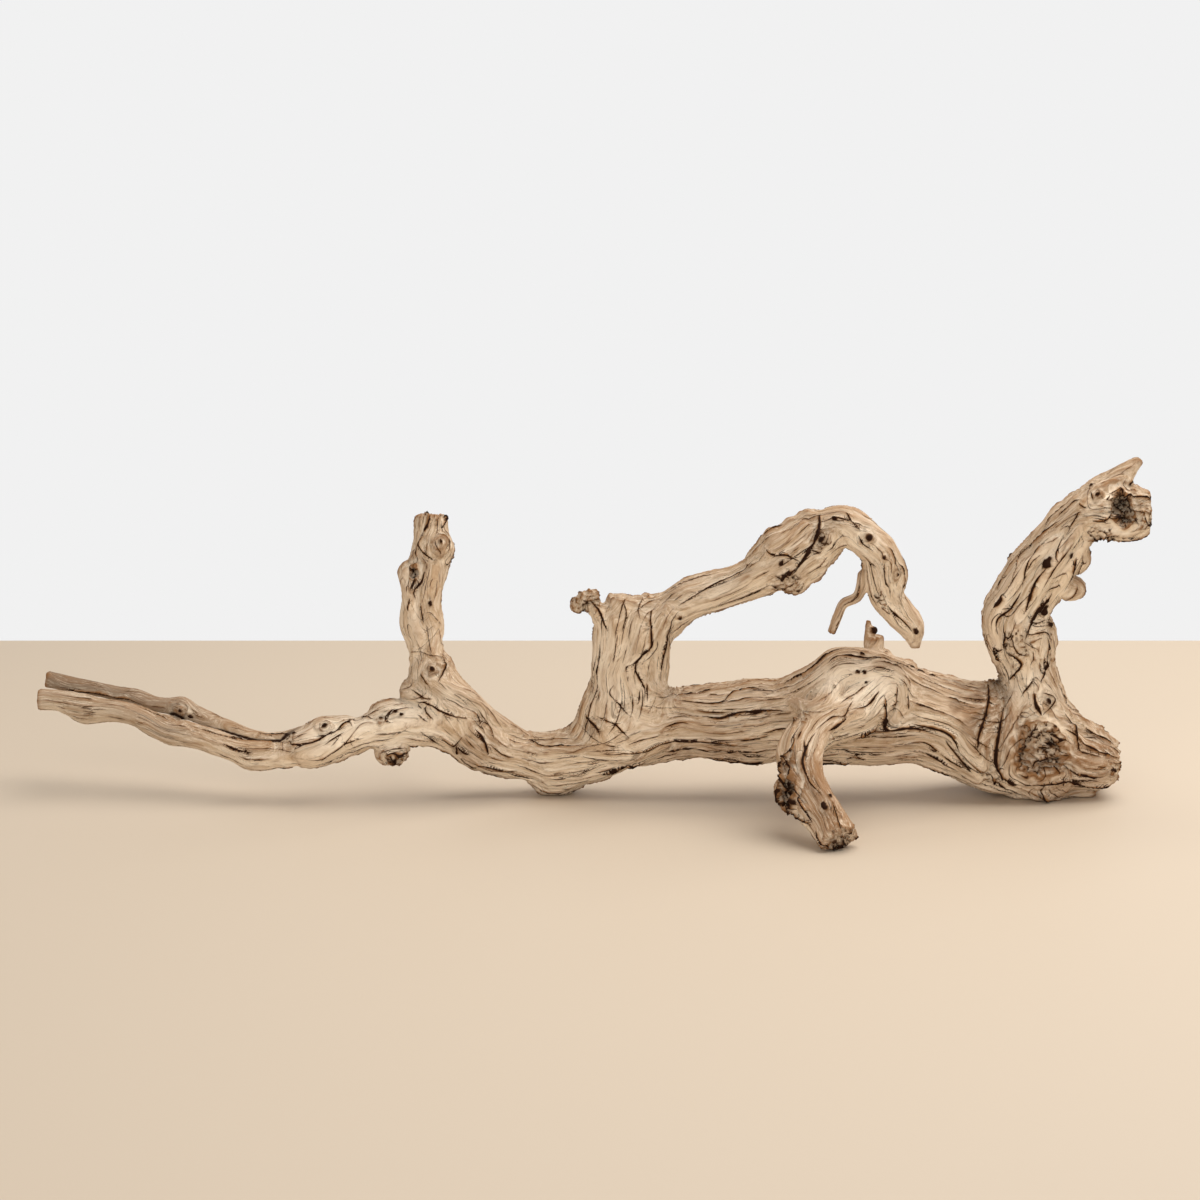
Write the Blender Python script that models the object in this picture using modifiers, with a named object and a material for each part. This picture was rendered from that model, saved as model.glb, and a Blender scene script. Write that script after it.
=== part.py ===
"""A weathered piece of driftwood: one solid, lying on three worn spots.

Every limb of the branch is a tapering tube along a smooth centreline. The tubes and the burls on
them are fused into one skin, hollowed where the wood has rotted out, and worn flat underneath.
Places are in millimetres in the branch's own layout: X along the trunk, Y away from the front,
Z up from the surface that it lies on.
"""

import math

import bmesh
import bpy
from mathutils import Matrix, Vector

MM = 0.001

LENGTH_SCALE = 1.0  # of the whole branch
LAYOUT_TO_ORIGIN = Vector((5.0, 35.0, 0.0))  # brings the middle of the branch's footprint to the origin

FUSE_VOXEL = 1.1  # grid on which the limbs are fused
FILLET_PASSES = 12  # smoothing passes that round the crotches between limbs
LUMP_SIZE = 26.0  # the bark-side swellings: their spacing and height
LUMP_HEIGHT = 2.4
SOLID_TRIANGLES = 9000

# Each limb, from its root outwards: a list of (x, y, z, radius), with a point only where it bends or
# changes girth.
LIMBS = {
    "trunk": [
        (-81, 0, 54, 11), (-72, 0, 46, 12), (-64, 0, 35, 13.5), (-54, 1, 26, 13), (-42, 2, 21, 11),
        (-30, 3, 19, 11.5), (-17, 3, 19, 13), (-5, 3, 22, 13.5), (10, 2, 30, 15), (26, 1, 34, 15.5),
        (42, 0, 37, 16.5), (60, 0, 38, 18), (76, 0, 38, 20), (92, 0, 39, 19), (125, 0, 40, 21),
        (152, 1, 41, 21), (167, 2, 38, 21.5), (182, 2, 34, 22.5), (197, 3, 30, 25),
        (216, 5, 25, 25), (232, 6, 22, 22),
    ],
    "left_arm": [
        (-62, 0, 24, 8), (-70, -1, 31, 8), (-80, -3, 37, 10.5), (-92, -4, 39, 11.5),
        (-105, -6, 37, 10), (-117, -8, 34, 8), (-127, -8, 32, 10), (-141, -9, 28, 10.5),
        (-149, -9, 26, 9),
    ],
    "lower_prong": [
        (-141, -9, 26, 7), (-154, -9, 24, 6.5), (-169, -8, 23, 7), (-178, -6, 25, 6.5),
        (-188, -4, 28, 6), (-200, -2, 31, 6), (-212, 1, 33, 7), (-221, 3, 36, 6), (-230, 5, 40, 5),
        (-241, 7, 42, 5), (-251, 9, 42, 6), (-258, 10, 43, 6.5), (-269, 12, 46, 5),
        (-280, 14, 46, 5),
    ],
    "upper_prong": [
        (-130, -7, 34, 6), (-143, -7, 33, 5), (-155, -4, 30, 4), (-167, -2, 30, 3.5),
        (-178, 0, 33, 3.5), (-191, 4, 37, 4), (-203, 8, 41, 4.5), (-210, 10, 43, 4.5),
        (-221, 13, 44, 3.5), (-231, 16, 47, 3.5), (-241, 18, 48, 3.5), (-252, 20, 50, 3.5),
        (-277, 24, 54, 4),
    ],
    "left_upright": [
        (-77, 0, 46, 12), (-82, 1, 61, 11), (-84, 3, 70, 8.5), (-87, 5, 79, 8), (-88, 8, 88, 10),
        (-88, 10, 98, 9.5), (-87, 12, 107, 10), (-84, 15, 117, 9.5), (-83, 17, 127, 8.5),
        (-83, 19, 139, 8),
    ],
    "stump_left": [
        (1, 0, 30, 12), (4, 0, 45, 11.5), (7, 1, 58, 10), (8, 1, 70, 10.5), (9, 0, 83, 10.5),
        (13, 0, 101, 8),
    ],
    "arch": [
        (21, -1, 31, 11), (23, -2, 50, 11), (21, -2, 66, 9.5), (21, -2, 76, 11.5), (25, -2, 87, 13),
        (36, -4, 95, 10), (46, -6, 102, 9.5), (60, -8, 107, 9), (70, -11, 111, 9),
        (79, -13, 116, 10), (87, -15, 122, 13.5), (96, -17, 127, 14), (104, -19, 132, 13.5),
        (112, -20, 138, 11), (121, -21, 141, 9.5), (130, -21, 135, 8.5), (137, -20, 128, 8.5),
        (140, -20, 117, 9.5), (141, -19, 107, 8), (147, -18, 98, 7), (153, -18, 91, 6),
        (155, -17, 85, 3.5), (156, -17, 80, 1.5),
    ],
    "twig": [
        (130, -21, 117, 3), (127, -22, 107, 2.5), (120, -23, 103, 2.5), (117, -25, 97, 2.5),
        (114, -26, 89, 2),
    ],
    "boss_ridge": [
        (92, -4, 46, 10), (102, -5, 53, 10.5), (112, -6, 59, 11), (122, -6, 65, 12),
        (132, -6, 65, 11), (143, -5, 61, 12), (153, -3, 54, 12), (168, 0, 43, 15),
    ],
    "foot": [
        (139, -14, 57, 10), (125, -27, 48, 10), (107, -42, 45, 10.5), (98, -56, 38, 10),
        (98, -68, 29, 10), (102, -80, 20, 10), (108, -90, 14, 9.5), (115, -100, 5, 9),
    ],
    "under_strand": [
        (124, -8, 29, 8), (138, -10, 30, 10), (155, -9, 31, 10), (168, -7, 27, 10),
        (181, -6, 22, 9), (196, -4, 13, 9), (216, -2, 6, 6), (241, 0, 3, 4),
    ],
    "right_upright": [
        (219, 0, 18, 19), (218, 0, 36, 17), (216, 1, 52, 15), (213, 2, 66, 13), (210, 3, 79, 16.5),
        (207, 3, 89, 16), (208, 2, 99, 14), (214, 0, 110, 13.5), (222, -2, 121, 13.5),
        (228, -4, 131, 12.5), (235, -6, 140, 12), (246, -9, 147, 13.5), (256, -10, 146, 14),
        (265, -10, 146, 11), (270, -10, 146, 5),
    ],
    "spike": [(245, -9, 155, 7), (255, -8, 163, 5.5), (265, -7, 172, 2)],
    "end_upper": [(225, 0, 43, 8), (236, 0, 33, 8), (247, 1, 27, 7), (258, 1, 23, 5)],
    "end_middle": [(229, -2, 21, 16), (246, -2, 18, 12.5), (259, -2, 16, 6)],
    "end_lower": [(221, -2, 8, 8), (236, -1, 5, 6), (248, 0, 3, 4.5)],
    "end_core": [(226, 8, 16, 16), (242, 9, 13, 12), (253, 10, 11, 9)],
    "back_heel": [
        (174, 12, 27, 12), (196, 16, 21, 13.5), (220, 20, 14, 14), (240, 21, 9, 11), (252, 21, 6, 8),
    ],
    "stub": [(137, 3, 67, 4.5), (137, 3, 81, 4.5)],
    "stub_spike": [(135, 3, 77, 3), (134, 3, 89, 1)],
    "stump_stub": [(6, -2, 80, 4.5), (1, -3, 92, 4), (-4, -4, 100, 4)],
    "stump_stub_head": [(-10, -4, 98, 3.5), (-6, -4, 102, 3.5), (0, -3, 103, 3)],
}

# Burls and swellings: (x, y, z, radius along X, along Y, along Z).
BURLS = {
    "arm_knob": (-102, -9, 25, 8, 7, 7),
    "arm_shoulder": (-104, -6, 45, 8, 6, 5),
    "arm_eye": (-136, -8, 37, 7, 6, 5),
    "prong_belly": (-171, -8, 21, 8, 6, 5),
    "prong_eye": (-208, 9, 43, 6, 5, 5),
    "prong_heel": (-255, 9, 41, 6, 5, 5),
    "upright_eye": (-80, 13, 124, 8, 8, 8),
    "upright_cheek": (-92, 11, 110, 6.5, 7, 8),
    "upright_collar": (-92, -3, 54, 6, 6, 6),
    "belly": (-21, 5, 11, 14, 11, 12),
    "arch_crown": (88, -19, 132, 8, 8, 8),
    "arch_crown_top": (97, -19, 138, 7, 8, 7),
    "arch_crown_tip": (103, -18, 145, 5, 5, 4),
    "arch_under": (96, -20, 115, 7, 7, 7),
    "arch_under_right": (104, -22, 121, 6, 6, 6),
    "eye_brow": (144, -19, 117, 6, 6, 7),
    "ridge_bud": (153, 2, 65, 4, 4, 4),
    "ridge_bud_small": (143, 4, 71, 3.5, 3, 3),
    "foot_burl": (92, -74, 22, 7, 8, 9),
    "upright_knob": (233, -4, 107, 7, 7, 6),
    "upright_knob_small": (237, -4, 121, 5, 5, 6),
    "upright_back": (221, 4, 82, 6, 8, 8),
}

# Rotted hollows, cut out: (x, y, z, radius along X, along Y, along Z, tilt about Y in degrees).
HOLLOWS = {
    "head_hollow": (255, -22, 150, 5, 11, 8, -10),
    "base_knot": (218, -20, 29, 12, 6, 13, 30),
}

DRIFTWOOD_TAN = (0.56, 0.43, 0.30, 1.0)


def clear_scene():
    for obj in list(bpy.data.objects):
        bpy.data.objects.remove(obj)


def new_collection(name):
    made = bpy.data.collections.new(name)
    bpy.context.scene.collection.children.link(made)
    return made


def limb_curve(name, points):
    """A round tapering limb along a smooth line through its points."""
    curve = bpy.data.curves.new(name, "CURVE")
    curve.dimensions = "3D"
    curve.bevel_depth = MM
    curve.bevel_resolution = 5
    curve.resolution_u = 6
    curve.use_fill_caps = True
    spline = curve.splines.new("BEZIER")
    spline.radius_interpolation = "CARDINAL"
    spline.bezier_points.add(len(points) - 1)
    for knot, (x, y, z, radius) in zip(spline.bezier_points, points):
        knot.co = Vector((x, y, z)) * MM
        knot.radius = radius
        knot.handle_left_type = "AUTO"
        knot.handle_right_type = "AUTO"
    return bpy.data.objects.new(name, curve)


def add_limb(bm, name, points):
    """Adds a limb's closed tube to the mesh."""
    limb = limb_curve(name, points)
    bpy.context.scene.collection.objects.link(limb)
    bpy.context.view_layer.update()
    graph = bpy.context.evaluated_depsgraph_get()
    mesh = bpy.data.meshes.new_from_object(limb.evaluated_get(graph))
    bm.from_mesh(mesh)
    bpy.data.objects.remove(limb)
    bpy.data.meshes.remove(mesh)


def add_ball(bm, x, y, z, along_x, along_y, along_z, tilt=0.0):
    """Adds an ellipsoid, tilted about Y."""
    place = Matrix.Translation(Vector((x, y, z)) * MM)
    turn = Matrix.Rotation(math.radians(tilt), 4, "Y")
    size = Matrix.Diagonal((along_x * MM, along_y * MM, along_z * MM, 1.0))
    bmesh.ops.create_icosphere(bm, subdivisions=3, radius=1.0, matrix=place @ turn @ size)


def object_from(bm, name, collection):
    mesh = bpy.data.meshes.new(name)
    bm.to_mesh(mesh)
    bm.free()
    obj = bpy.data.objects.new(name, mesh)
    collection.objects.link(obj)
    return obj


def as_cutter(obj):
    obj.hide_render = True
    obj.display_type = "WIRE"
    return obj


def hollow_cutter(collection):
    bm = bmesh.new()
    for place in HOLLOWS.values():
        add_ball(bm, *place)
    return as_cutter(object_from(bm, "hollow_cutter", collection))


def floor_cutter(collection):
    """A slab under the surface that the branch lies on, which leaves it worn flat there."""
    across, thick = 0.8, 0.04
    bm = bmesh.new()
    bmesh.ops.create_cube(bm, size=1.0)
    bmesh.ops.scale(bm, vec=(across, across, thick), verts=bm.verts)
    bmesh.ops.translate(bm, vec=(0.0, 0.0, -thick / 2), verts=bm.verts)
    return as_cutter(object_from(bm, "floor_cutter", collection))


def cut(obj, name, cutter):
    modifier = obj.modifiers.new(name, "BOOLEAN")
    modifier.operation = "DIFFERENCE"
    modifier.solver = "EXACT"
    modifier.object = cutter


def fuse(obj, name):
    modifier = obj.modifiers.new(name, "REMESH")
    modifier.mode = "VOXEL"
    modifier.voxel_size = FUSE_VOXEL * MM
    modifier.use_smooth_shade = True


def round_crotches(obj):
    modifier = obj.modifiers.new("round_crotches", "SMOOTH")
    modifier.factor = 0.5
    modifier.iterations = FILLET_PASSES


def swell(obj):
    """Uneven growth: low lumps all over the limbs."""
    lumps = bpy.data.textures.new("lumps", "CLOUDS")
    lumps.noise_scale = LUMP_SIZE * MM
    lumps.noise_depth = 1
    modifier = obj.modifiers.new("swell", "DISPLACE")
    modifier.texture = lumps
    modifier.texture_coords = "LOCAL"
    modifier.strength = LUMP_HEIGHT * MM
    modifier.mid_level = 0.5


def thin_out(obj):
    """Brings the mesh down to a light solid."""
    graph = bpy.context.evaluated_depsgraph_get()
    graph.update()
    evaluated = obj.evaluated_get(graph)
    triangles = sum(len(face.vertices) - 2 for face in evaluated.data.polygons)
    modifier = obj.modifiers.new("thin_out", "DECIMATE")
    modifier.ratio = SOLID_TRIANGLES / triangles


def wood_material():
    material = bpy.data.materials.new("driftwood")
    material.use_nodes = True
    shader = material.node_tree.nodes["Principled BSDF"]
    shader.inputs["Base Color"].default_value = DRIFTWOOD_TAN
    shader.inputs["Roughness"].default_value = 0.85
    shader.inputs["Metallic"].default_value = 0.0
    return material


def driftwood(parts, cutters):
    bm = bmesh.new()
    for name, points in LIMBS.items():
        add_limb(bm, name, points)
    for place in BURLS.values():
        add_ball(bm, *place)
    bmesh.ops.remove_doubles(bm, verts=bm.verts, dist=1e-6)
    obj = object_from(bm, "driftwood", parts)
    obj.data.materials.append(wood_material())
    fuse(obj, "fuse_limbs")
    cut(obj, "hollows", hollow_cutter(cutters))
    fuse(obj, "fuse_rims")
    round_crotches(obj)
    swell(obj)
    thin_out(obj)
    cut(obj, "worn_flats", floor_cutter(cutters))
    return obj


def main():
    clear_scene()
    parts = new_collection("driftwood")
    cutters = new_collection("cutters")
    branch = driftwood(parts, cutters)
    for obj in (branch, *cutters.objects):
        obj.scale = (LENGTH_SCALE,) * 3
        obj.location = LAYOUT_TO_ORIGIN * MM


main()
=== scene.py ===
"""The looks of a weathered branch of driftwood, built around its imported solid.

The branch is grown as a distance field: every limb is a tapering tube along a smooth line, blended
into its neighbours and splintered where it broke off, with burls and raised strands added and
rotted hollows taken away. Its skin then gets flutes that follow the grain, drying cracks, knots,
pits and rough patches, all as geometry. The material reads the same values as attributes.
Places are in millimetres in the branch's own layout: X along the trunk, Y away from the front,
Z up from the floor. LAYOUT_TO_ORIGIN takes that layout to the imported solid's frame.
"""

import math
from itertools import product

import bpy
import numpy as np
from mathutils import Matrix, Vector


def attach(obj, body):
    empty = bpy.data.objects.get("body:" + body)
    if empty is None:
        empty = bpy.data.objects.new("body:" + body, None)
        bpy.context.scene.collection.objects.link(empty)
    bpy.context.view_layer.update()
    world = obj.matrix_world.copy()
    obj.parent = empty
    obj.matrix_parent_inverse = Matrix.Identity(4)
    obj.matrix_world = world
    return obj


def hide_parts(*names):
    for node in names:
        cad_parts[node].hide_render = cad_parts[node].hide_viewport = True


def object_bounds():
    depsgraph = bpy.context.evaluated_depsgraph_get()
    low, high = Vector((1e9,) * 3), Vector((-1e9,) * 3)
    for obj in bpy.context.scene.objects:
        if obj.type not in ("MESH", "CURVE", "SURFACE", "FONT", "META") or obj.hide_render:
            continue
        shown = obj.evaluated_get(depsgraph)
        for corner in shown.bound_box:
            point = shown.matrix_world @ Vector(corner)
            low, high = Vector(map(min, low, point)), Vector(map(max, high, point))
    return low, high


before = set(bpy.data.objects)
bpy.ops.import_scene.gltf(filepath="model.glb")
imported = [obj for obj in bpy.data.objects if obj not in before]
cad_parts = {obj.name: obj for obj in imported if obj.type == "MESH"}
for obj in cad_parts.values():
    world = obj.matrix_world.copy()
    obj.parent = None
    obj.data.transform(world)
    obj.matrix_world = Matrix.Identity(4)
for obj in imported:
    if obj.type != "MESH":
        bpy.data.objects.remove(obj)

import openvdb
from mathutils import Vector
from mathutils.bvhtree import BVHTree
from mathutils.kdtree import KDTree

CAD_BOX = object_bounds()

MM = 0.001
LAYOUT_TO_ORIGIN = np.array((5.0, 35.0, 0.0))
VOXEL = 0.72  # of the distance field, mm
MARGIN = 4.0  # of the field around the limbs, mm
SAMPLE_STEP = 1.0  # between the balls that make up a limb, mm
SOFT_LIMIT = 1.0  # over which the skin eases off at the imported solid's box, mm

# Each limb, from its root outwards: (x, y, z, radius), with a point only where it bends or changes
# girth.
LIMBS = {
    "trunk": [
        (-81, 0, 54, 11), (-72, 0, 46, 12), (-64, 0, 35, 13.5), (-54, 1, 26, 13), (-42, 2, 21, 11),
        (-30, 3, 19, 11.5), (-17, 3, 19, 13), (-5, 3, 22, 13.5), (10, 2, 30, 15), (26, 1, 34, 15.5),
        (42, 0, 37, 16.5), (60, 0, 38, 18), (76, 0, 38, 20), (92, 0, 39, 19), (125, 0, 40, 21),
        (152, 1, 41, 21), (167, 2, 38, 21.5), (182, 2, 34, 22.5), (197, 3, 30, 25),
        (216, 5, 25, 25), (232, 6, 22, 22),
    ],
    "left_arm": [
        (-62, 0, 24, 8), (-70, -1, 31, 8), (-80, -3, 37, 10.5), (-92, -4, 39, 11.5),
        (-105, -6, 37, 10), (-117, -8, 34, 8), (-127, -8, 32, 10), (-141, -9, 28, 10.5),
        (-149, -9, 26, 9),
    ],
    "lower_prong": [
        (-141, -9, 26, 7), (-154, -9, 24, 6.5), (-169, -8, 23, 7), (-178, -6, 25, 6.5),
        (-188, -4, 28, 6), (-200, -2, 31, 6), (-212, 1, 33, 7), (-221, 3, 36, 6), (-230, 5, 40, 5),
        (-241, 7, 42, 5), (-251, 9, 42, 6), (-258, 10, 43, 6.5), (-269, 12, 46, 5),
        (-280, 14, 46, 5),
    ],
    "upper_prong": [
        (-130, -7, 34, 6), (-143, -7, 33, 5), (-155, -4, 30, 4), (-167, -2, 30, 3.5),
        (-178, 0, 33, 3.5), (-191, 4, 37, 4), (-203, 8, 41, 4.5), (-210, 10, 43, 4.5),
        (-221, 13, 44, 3.5), (-231, 16, 47, 3.5), (-241, 18, 48, 3.5), (-252, 20, 50, 3.5),
        (-277, 24, 54, 4),
    ],
    "left_upright": [
        (-77, 0, 46, 12), (-82, 1, 61, 11), (-84, 3, 70, 8.5), (-87, 5, 79, 8), (-88, 8, 88, 10),
        (-88, 10, 98, 9.5), (-87, 12, 107, 10), (-84, 15, 117, 9.5), (-83, 17, 127, 8.5),
        (-83, 19, 139, 8),
    ],
    "stump_left": [
        (1, 0, 30, 12), (4, 0, 45, 11.5), (7, 1, 58, 10), (8, 1, 70, 10.5), (9, 0, 83, 10.5),
        (13, 0, 101, 8),
    ],
    "arch": [
        (21, -1, 31, 11), (23, -2, 50, 11), (21, -2, 66, 9.5), (21, -2, 76, 11.5), (25, -2, 87, 13),
        (36, -4, 95, 10), (46, -6, 102, 9.5), (60, -8, 107, 9), (70, -11, 111, 9),
        (79, -13, 116, 10), (87, -15, 122, 13.5), (96, -17, 127, 14), (104, -19, 132, 13.5),
        (112, -20, 138, 11), (121, -21, 141, 9.5), (130, -21, 135, 8.5), (137, -20, 128, 8.5),
        (140, -20, 117, 9.5), (141, -19, 107, 8), (147, -18, 98, 7), (153, -18, 91, 6),
        (155, -17, 85, 3.5), (156, -17, 80, 1.5),
    ],
    "twig": [
        (130, -21, 117, 3), (127, -22, 107, 2.5), (120, -23, 103, 2.5), (117, -25, 97, 2.5),
        (114, -26, 89, 2),
    ],
    "boss_ridge": [
        (92, -4, 46, 10), (102, -5, 53, 10.5), (112, -6, 59, 11), (122, -6, 65, 12),
        (132, -6, 65, 11), (143, -5, 61, 12), (153, -3, 54, 12), (168, 0, 43, 15),
    ],
    "foot": [
        (139, -14, 57, 10), (125, -27, 48, 10), (107, -42, 45, 10.5), (98, -56, 38, 10),
        (98, -68, 29, 10), (102, -80, 20, 10), (108, -90, 14, 9.5), (115, -100, 5, 9),
    ],
    "under_strand": [
        (124, -8, 29, 8), (138, -10, 30, 10), (155, -9, 31, 10), (168, -7, 27, 10),
        (181, -6, 22, 9), (196, -4, 13, 9), (216, -2, 6, 6), (241, 0, 3, 4),
    ],
    "right_upright": [
        (219, 0, 18, 19), (218, 0, 36, 17), (216, 1, 52, 15), (213, 2, 66, 13), (210, 3, 79, 16.5),
        (207, 3, 89, 16), (208, 2, 99, 14), (214, 0, 110, 13.5), (222, -2, 121, 13.5),
        (228, -4, 131, 12.5), (235, -6, 140, 12), (246, -9, 147, 13.5), (256, -10, 146, 14),
        (265, -10, 146, 11), (270, -10, 146, 5),
    ],
    "spike": [(245, -9, 155, 7), (255, -8, 163, 5.5), (265, -7, 172, 2)],
    "end_upper": [(225, 0, 43, 8), (236, 0, 33, 8), (247, 1, 27, 7), (258, 1, 23, 5)],
    "end_middle": [(229, -2, 21, 16), (246, -2, 18, 12.5), (259, -2, 16, 6)],
    "end_lower": [(221, -2, 8, 8), (236, -1, 5, 6), (248, 0, 3, 4.5)],
    "end_core": [(226, 8, 16, 16), (242, 9, 13, 12), (253, 10, 11, 9)],
    "back_heel": [
        (174, 12, 27, 12), (196, 16, 21, 13.5), (220, 20, 14, 14), (240, 21, 9, 11), (252, 21, 6, 8),
    ],
    "stub": [(137, 3, 67, 4.5), (137, 3, 81, 4.5)],
    "stub_spike": [(135, 3, 77, 3), (134, 3, 89, 1)],
    "stump_stub": [(6, -2, 80, 4.5), (1, -3, 92, 4), (-4, -4, 100, 4)],
    "stump_stub_head": [(-10, -4, 98, 3.5), (-6, -4, 102, 3.5), (0, -3, 103, 3)],
}

# Burls and swellings: (x, y, z, radius along X, along Y, along Z).
BURLS = {
    "arm_knob": (-102, -9, 25, 8, 7, 7),
    "arm_shoulder": (-104, -6, 45, 8, 6, 5),
    "arm_eye": (-136, -8, 37, 7, 6, 5),
    "prong_belly": (-171, -8, 21, 8, 6, 5),
    "prong_eye": (-208, 9, 43, 6, 5, 5),
    "prong_heel": (-255, 9, 41, 6, 5, 5),
    "upright_eye": (-80, 13, 124, 8, 8, 8),
    "upright_cheek": (-92, 11, 110, 6.5, 7, 8),
    "upright_collar": (-92, -3, 54, 6, 6, 6),
    "belly": (-21, 5, 11, 14, 11, 12),
    "arch_crown": (88, -19, 132, 8, 8, 8),
    "arch_crown_top": (97, -19, 138, 7, 8, 7),
    "arch_crown_tip": (103, -18, 145, 5, 5, 4),
    "arch_under": (96, -20, 115, 7, 7, 7),
    "arch_under_right": (104, -22, 121, 6, 6, 6),
    "eye_brow": (144, -19, 117, 6, 6, 7),
    "ridge_bud": (153, 2, 65, 4, 4, 4),
    "ridge_bud_small": (143, 4, 71, 3.5, 3, 3),
    "foot_burl": (92, -74, 22, 7, 8, 9),
    "upright_knob": (233, -4, 107, 7, 7, 6),
    "upright_knob_small": (237, -4, 121, 5, 5, 6),
    "upright_back": (221, 4, 82, 6, 8, 8),
}

# Rotted hollows, cut out: (x, y, z, radius along X, along Y, along Z, tilt about Y in degrees).
HOLLOWS = {
    "head_hollow": (255, -22, 150, 5, 11, 8, -10),
    "base_knot": (218, -20, 29, 12, 6, 13, 30),
}

# Smaller ones, that only the visible skin has.
SMALL_HOLLOWS = {
    "foot_burl": (91, -81, 24, 4, 5, 9, 0),
    "arm_knob": (-101, -16, 23, 3, 3, 2, 0),
    "upright_hole": (-91, 5, 113, 2, 4, 3, 0),
}

# What each limb grows from, and how softly, mm.
ROOTS = {
    "trunk": (None, 7), "left_arm": ("trunk", 5), "lower_prong": ("left_arm", 3),
    "upper_prong": ("left_arm", 0.8), "left_upright": ("trunk", 6), "stump_left": ("trunk", 7),
    "arch": ("trunk", 7), "twig": ("arch", 2), "boss_ridge": ("trunk", 6), "foot": ("boss_ridge", 4),
    "under_strand": ("trunk", 3), "right_upright": ("trunk", 6), "spike": ("right_upright", 4),
    "end_upper": ("right_upright", 1.5), "end_middle": ("trunk", 2), "end_lower": ("trunk", 1.5),
    "end_core": ("trunk", 4), "back_heel": ("trunk", 8), "stub": ("boss_ridge", 2),
    "stub_spike": ("boss_ridge", 1), "stump_stub": ("stump_left", 3),
    "stump_stub_head": ("stump_left", 1),
}
BURL_BLEND = 3.0

# Limbs that end in a break: how far their fibres stand out, mm. The others end in a clean cut.
RAGGED_ENDS = {
    "left_upright": 4.5, "end_upper": 5.0, "end_middle": 6.0, "end_lower": 4.0, "end_core": 5.0,
    "back_heel": 4.0, "foot": 2.5, "stump_left": 1.5, "stub": 2.5, "stump_stub": 2.0,
    "lower_prong": 0.6, "upper_prong": 0.6, "right_upright": 3.0,
}
CLEAN_CUT = 0.3

# Raised strands of wood that run over the front of the limbs: the limb that each one lies on, its
# radius, and the places (x, z) that it runs through.
STRANDS = [
    ("left_arm", 4, (-150, 24), (-138, 27), (-116, 37), (-102, 40), (-90, 42)),
    ("left_upright", 3, (-96, 54), (-86, 52), (-78, 50), (-62, 44)),
    ("trunk", 3, (-76, 50), (-68, 46), (-60, 33), (-56, 26)),
    ("trunk", 4.5, (-82, 62), (-74, 56), (-64, 51), (-54, 41), (-36, 30)),
    ("left_upright", 4, (-92, 70), (-88, 80), (-91, 92), (-93, 104), (-90, 116)),
    ("left_upright", 4, (-82, 74), (-80, 84), (-82, 96), (-79, 118)),
    ("trunk", 4, (-40, 26), (-20, 24), (0, 26), (16, 23), (34, 29)),
    ("trunk", 4.5, (30, 50), (46, 48), (62, 48), (90, 52)),
    ("trunk", 5, (24, 36), (40, 38), (60, 38), (84, 41)),
    ("arch", 5, (30, 52), (30, 64), (31, 88), (34, 98)),
    ("stump_left", 4.5, (8, 52), (6, 64), (8, 92)),
    ("stump_left", 3.5, (17, 56), (15, 68), (19, 80), (20, 94)),
    ("arch", 4, (36, 95), (52, 103), (66, 110), (88, 125)),
    ("arch", 5, (82, 126), (88, 132), (101, 142)),
    ("arch", 4, (96, 118), (103, 126), (114, 139)),
    ("arch", 4, (124, 142), (133, 136), (140, 127), (142, 116)),
    ("boss_ridge", 5, (96, 51), (106, 55), (118, 60), (130, 66), (140, 68), (148, 62), (149, 52),
        (146, 44)),
    ("trunk", 4.5, (128, 34), (142, 35), (156, 36), (168, 31), (178, 22), (188, 12)),
    ("trunk", 4.5, (152, 52), (160, 48), (170, 45), (179, 40), (185, 30), (190, 20)),
    ("right_upright", 4.5, (206, 54), (203, 40), (202, 28), (206, 18), (216, 13), (230, 16)),
    ("end_upper", 3.5, (224, 44), (232, 36), (240, 28), (252, 22)),
    ("end_upper", 3.5, (222, 58), (229, 46), (238, 38), (256, 28)),
    ("right_upright", 4.5, (198, 80), (196, 92), (203, 106), (212, 120), (224, 134)),
    ("right_upright", 4, (206, 80), (206, 92), (212, 104), (219, 116), (236, 142)),
    ("right_upright", 4, (214, 82), (218, 94), (226, 108), (232, 122), (240, 134)),
    ("right_upright", 4, (212, 60), (210, 70), (204, 78)),
    ("right_upright", 4, (238, 152), (246, 158), (254, 163)),
    ("right_upright", 4, (240, 140), (250, 140), (260, 141), (266, 146)),
    ("foot", 4, (128, 52), (114, 49), (106, 42), (104, 30), (110, 20), (116, 10)),
]
STRAND_BLEND = 1.2
STRAND_SINK = 0.6  # how deep a strand's middle lies under the skin, in its own radii
STRAND_TAPER = 0.55  # a strand's radius at its ends against its middle

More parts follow.
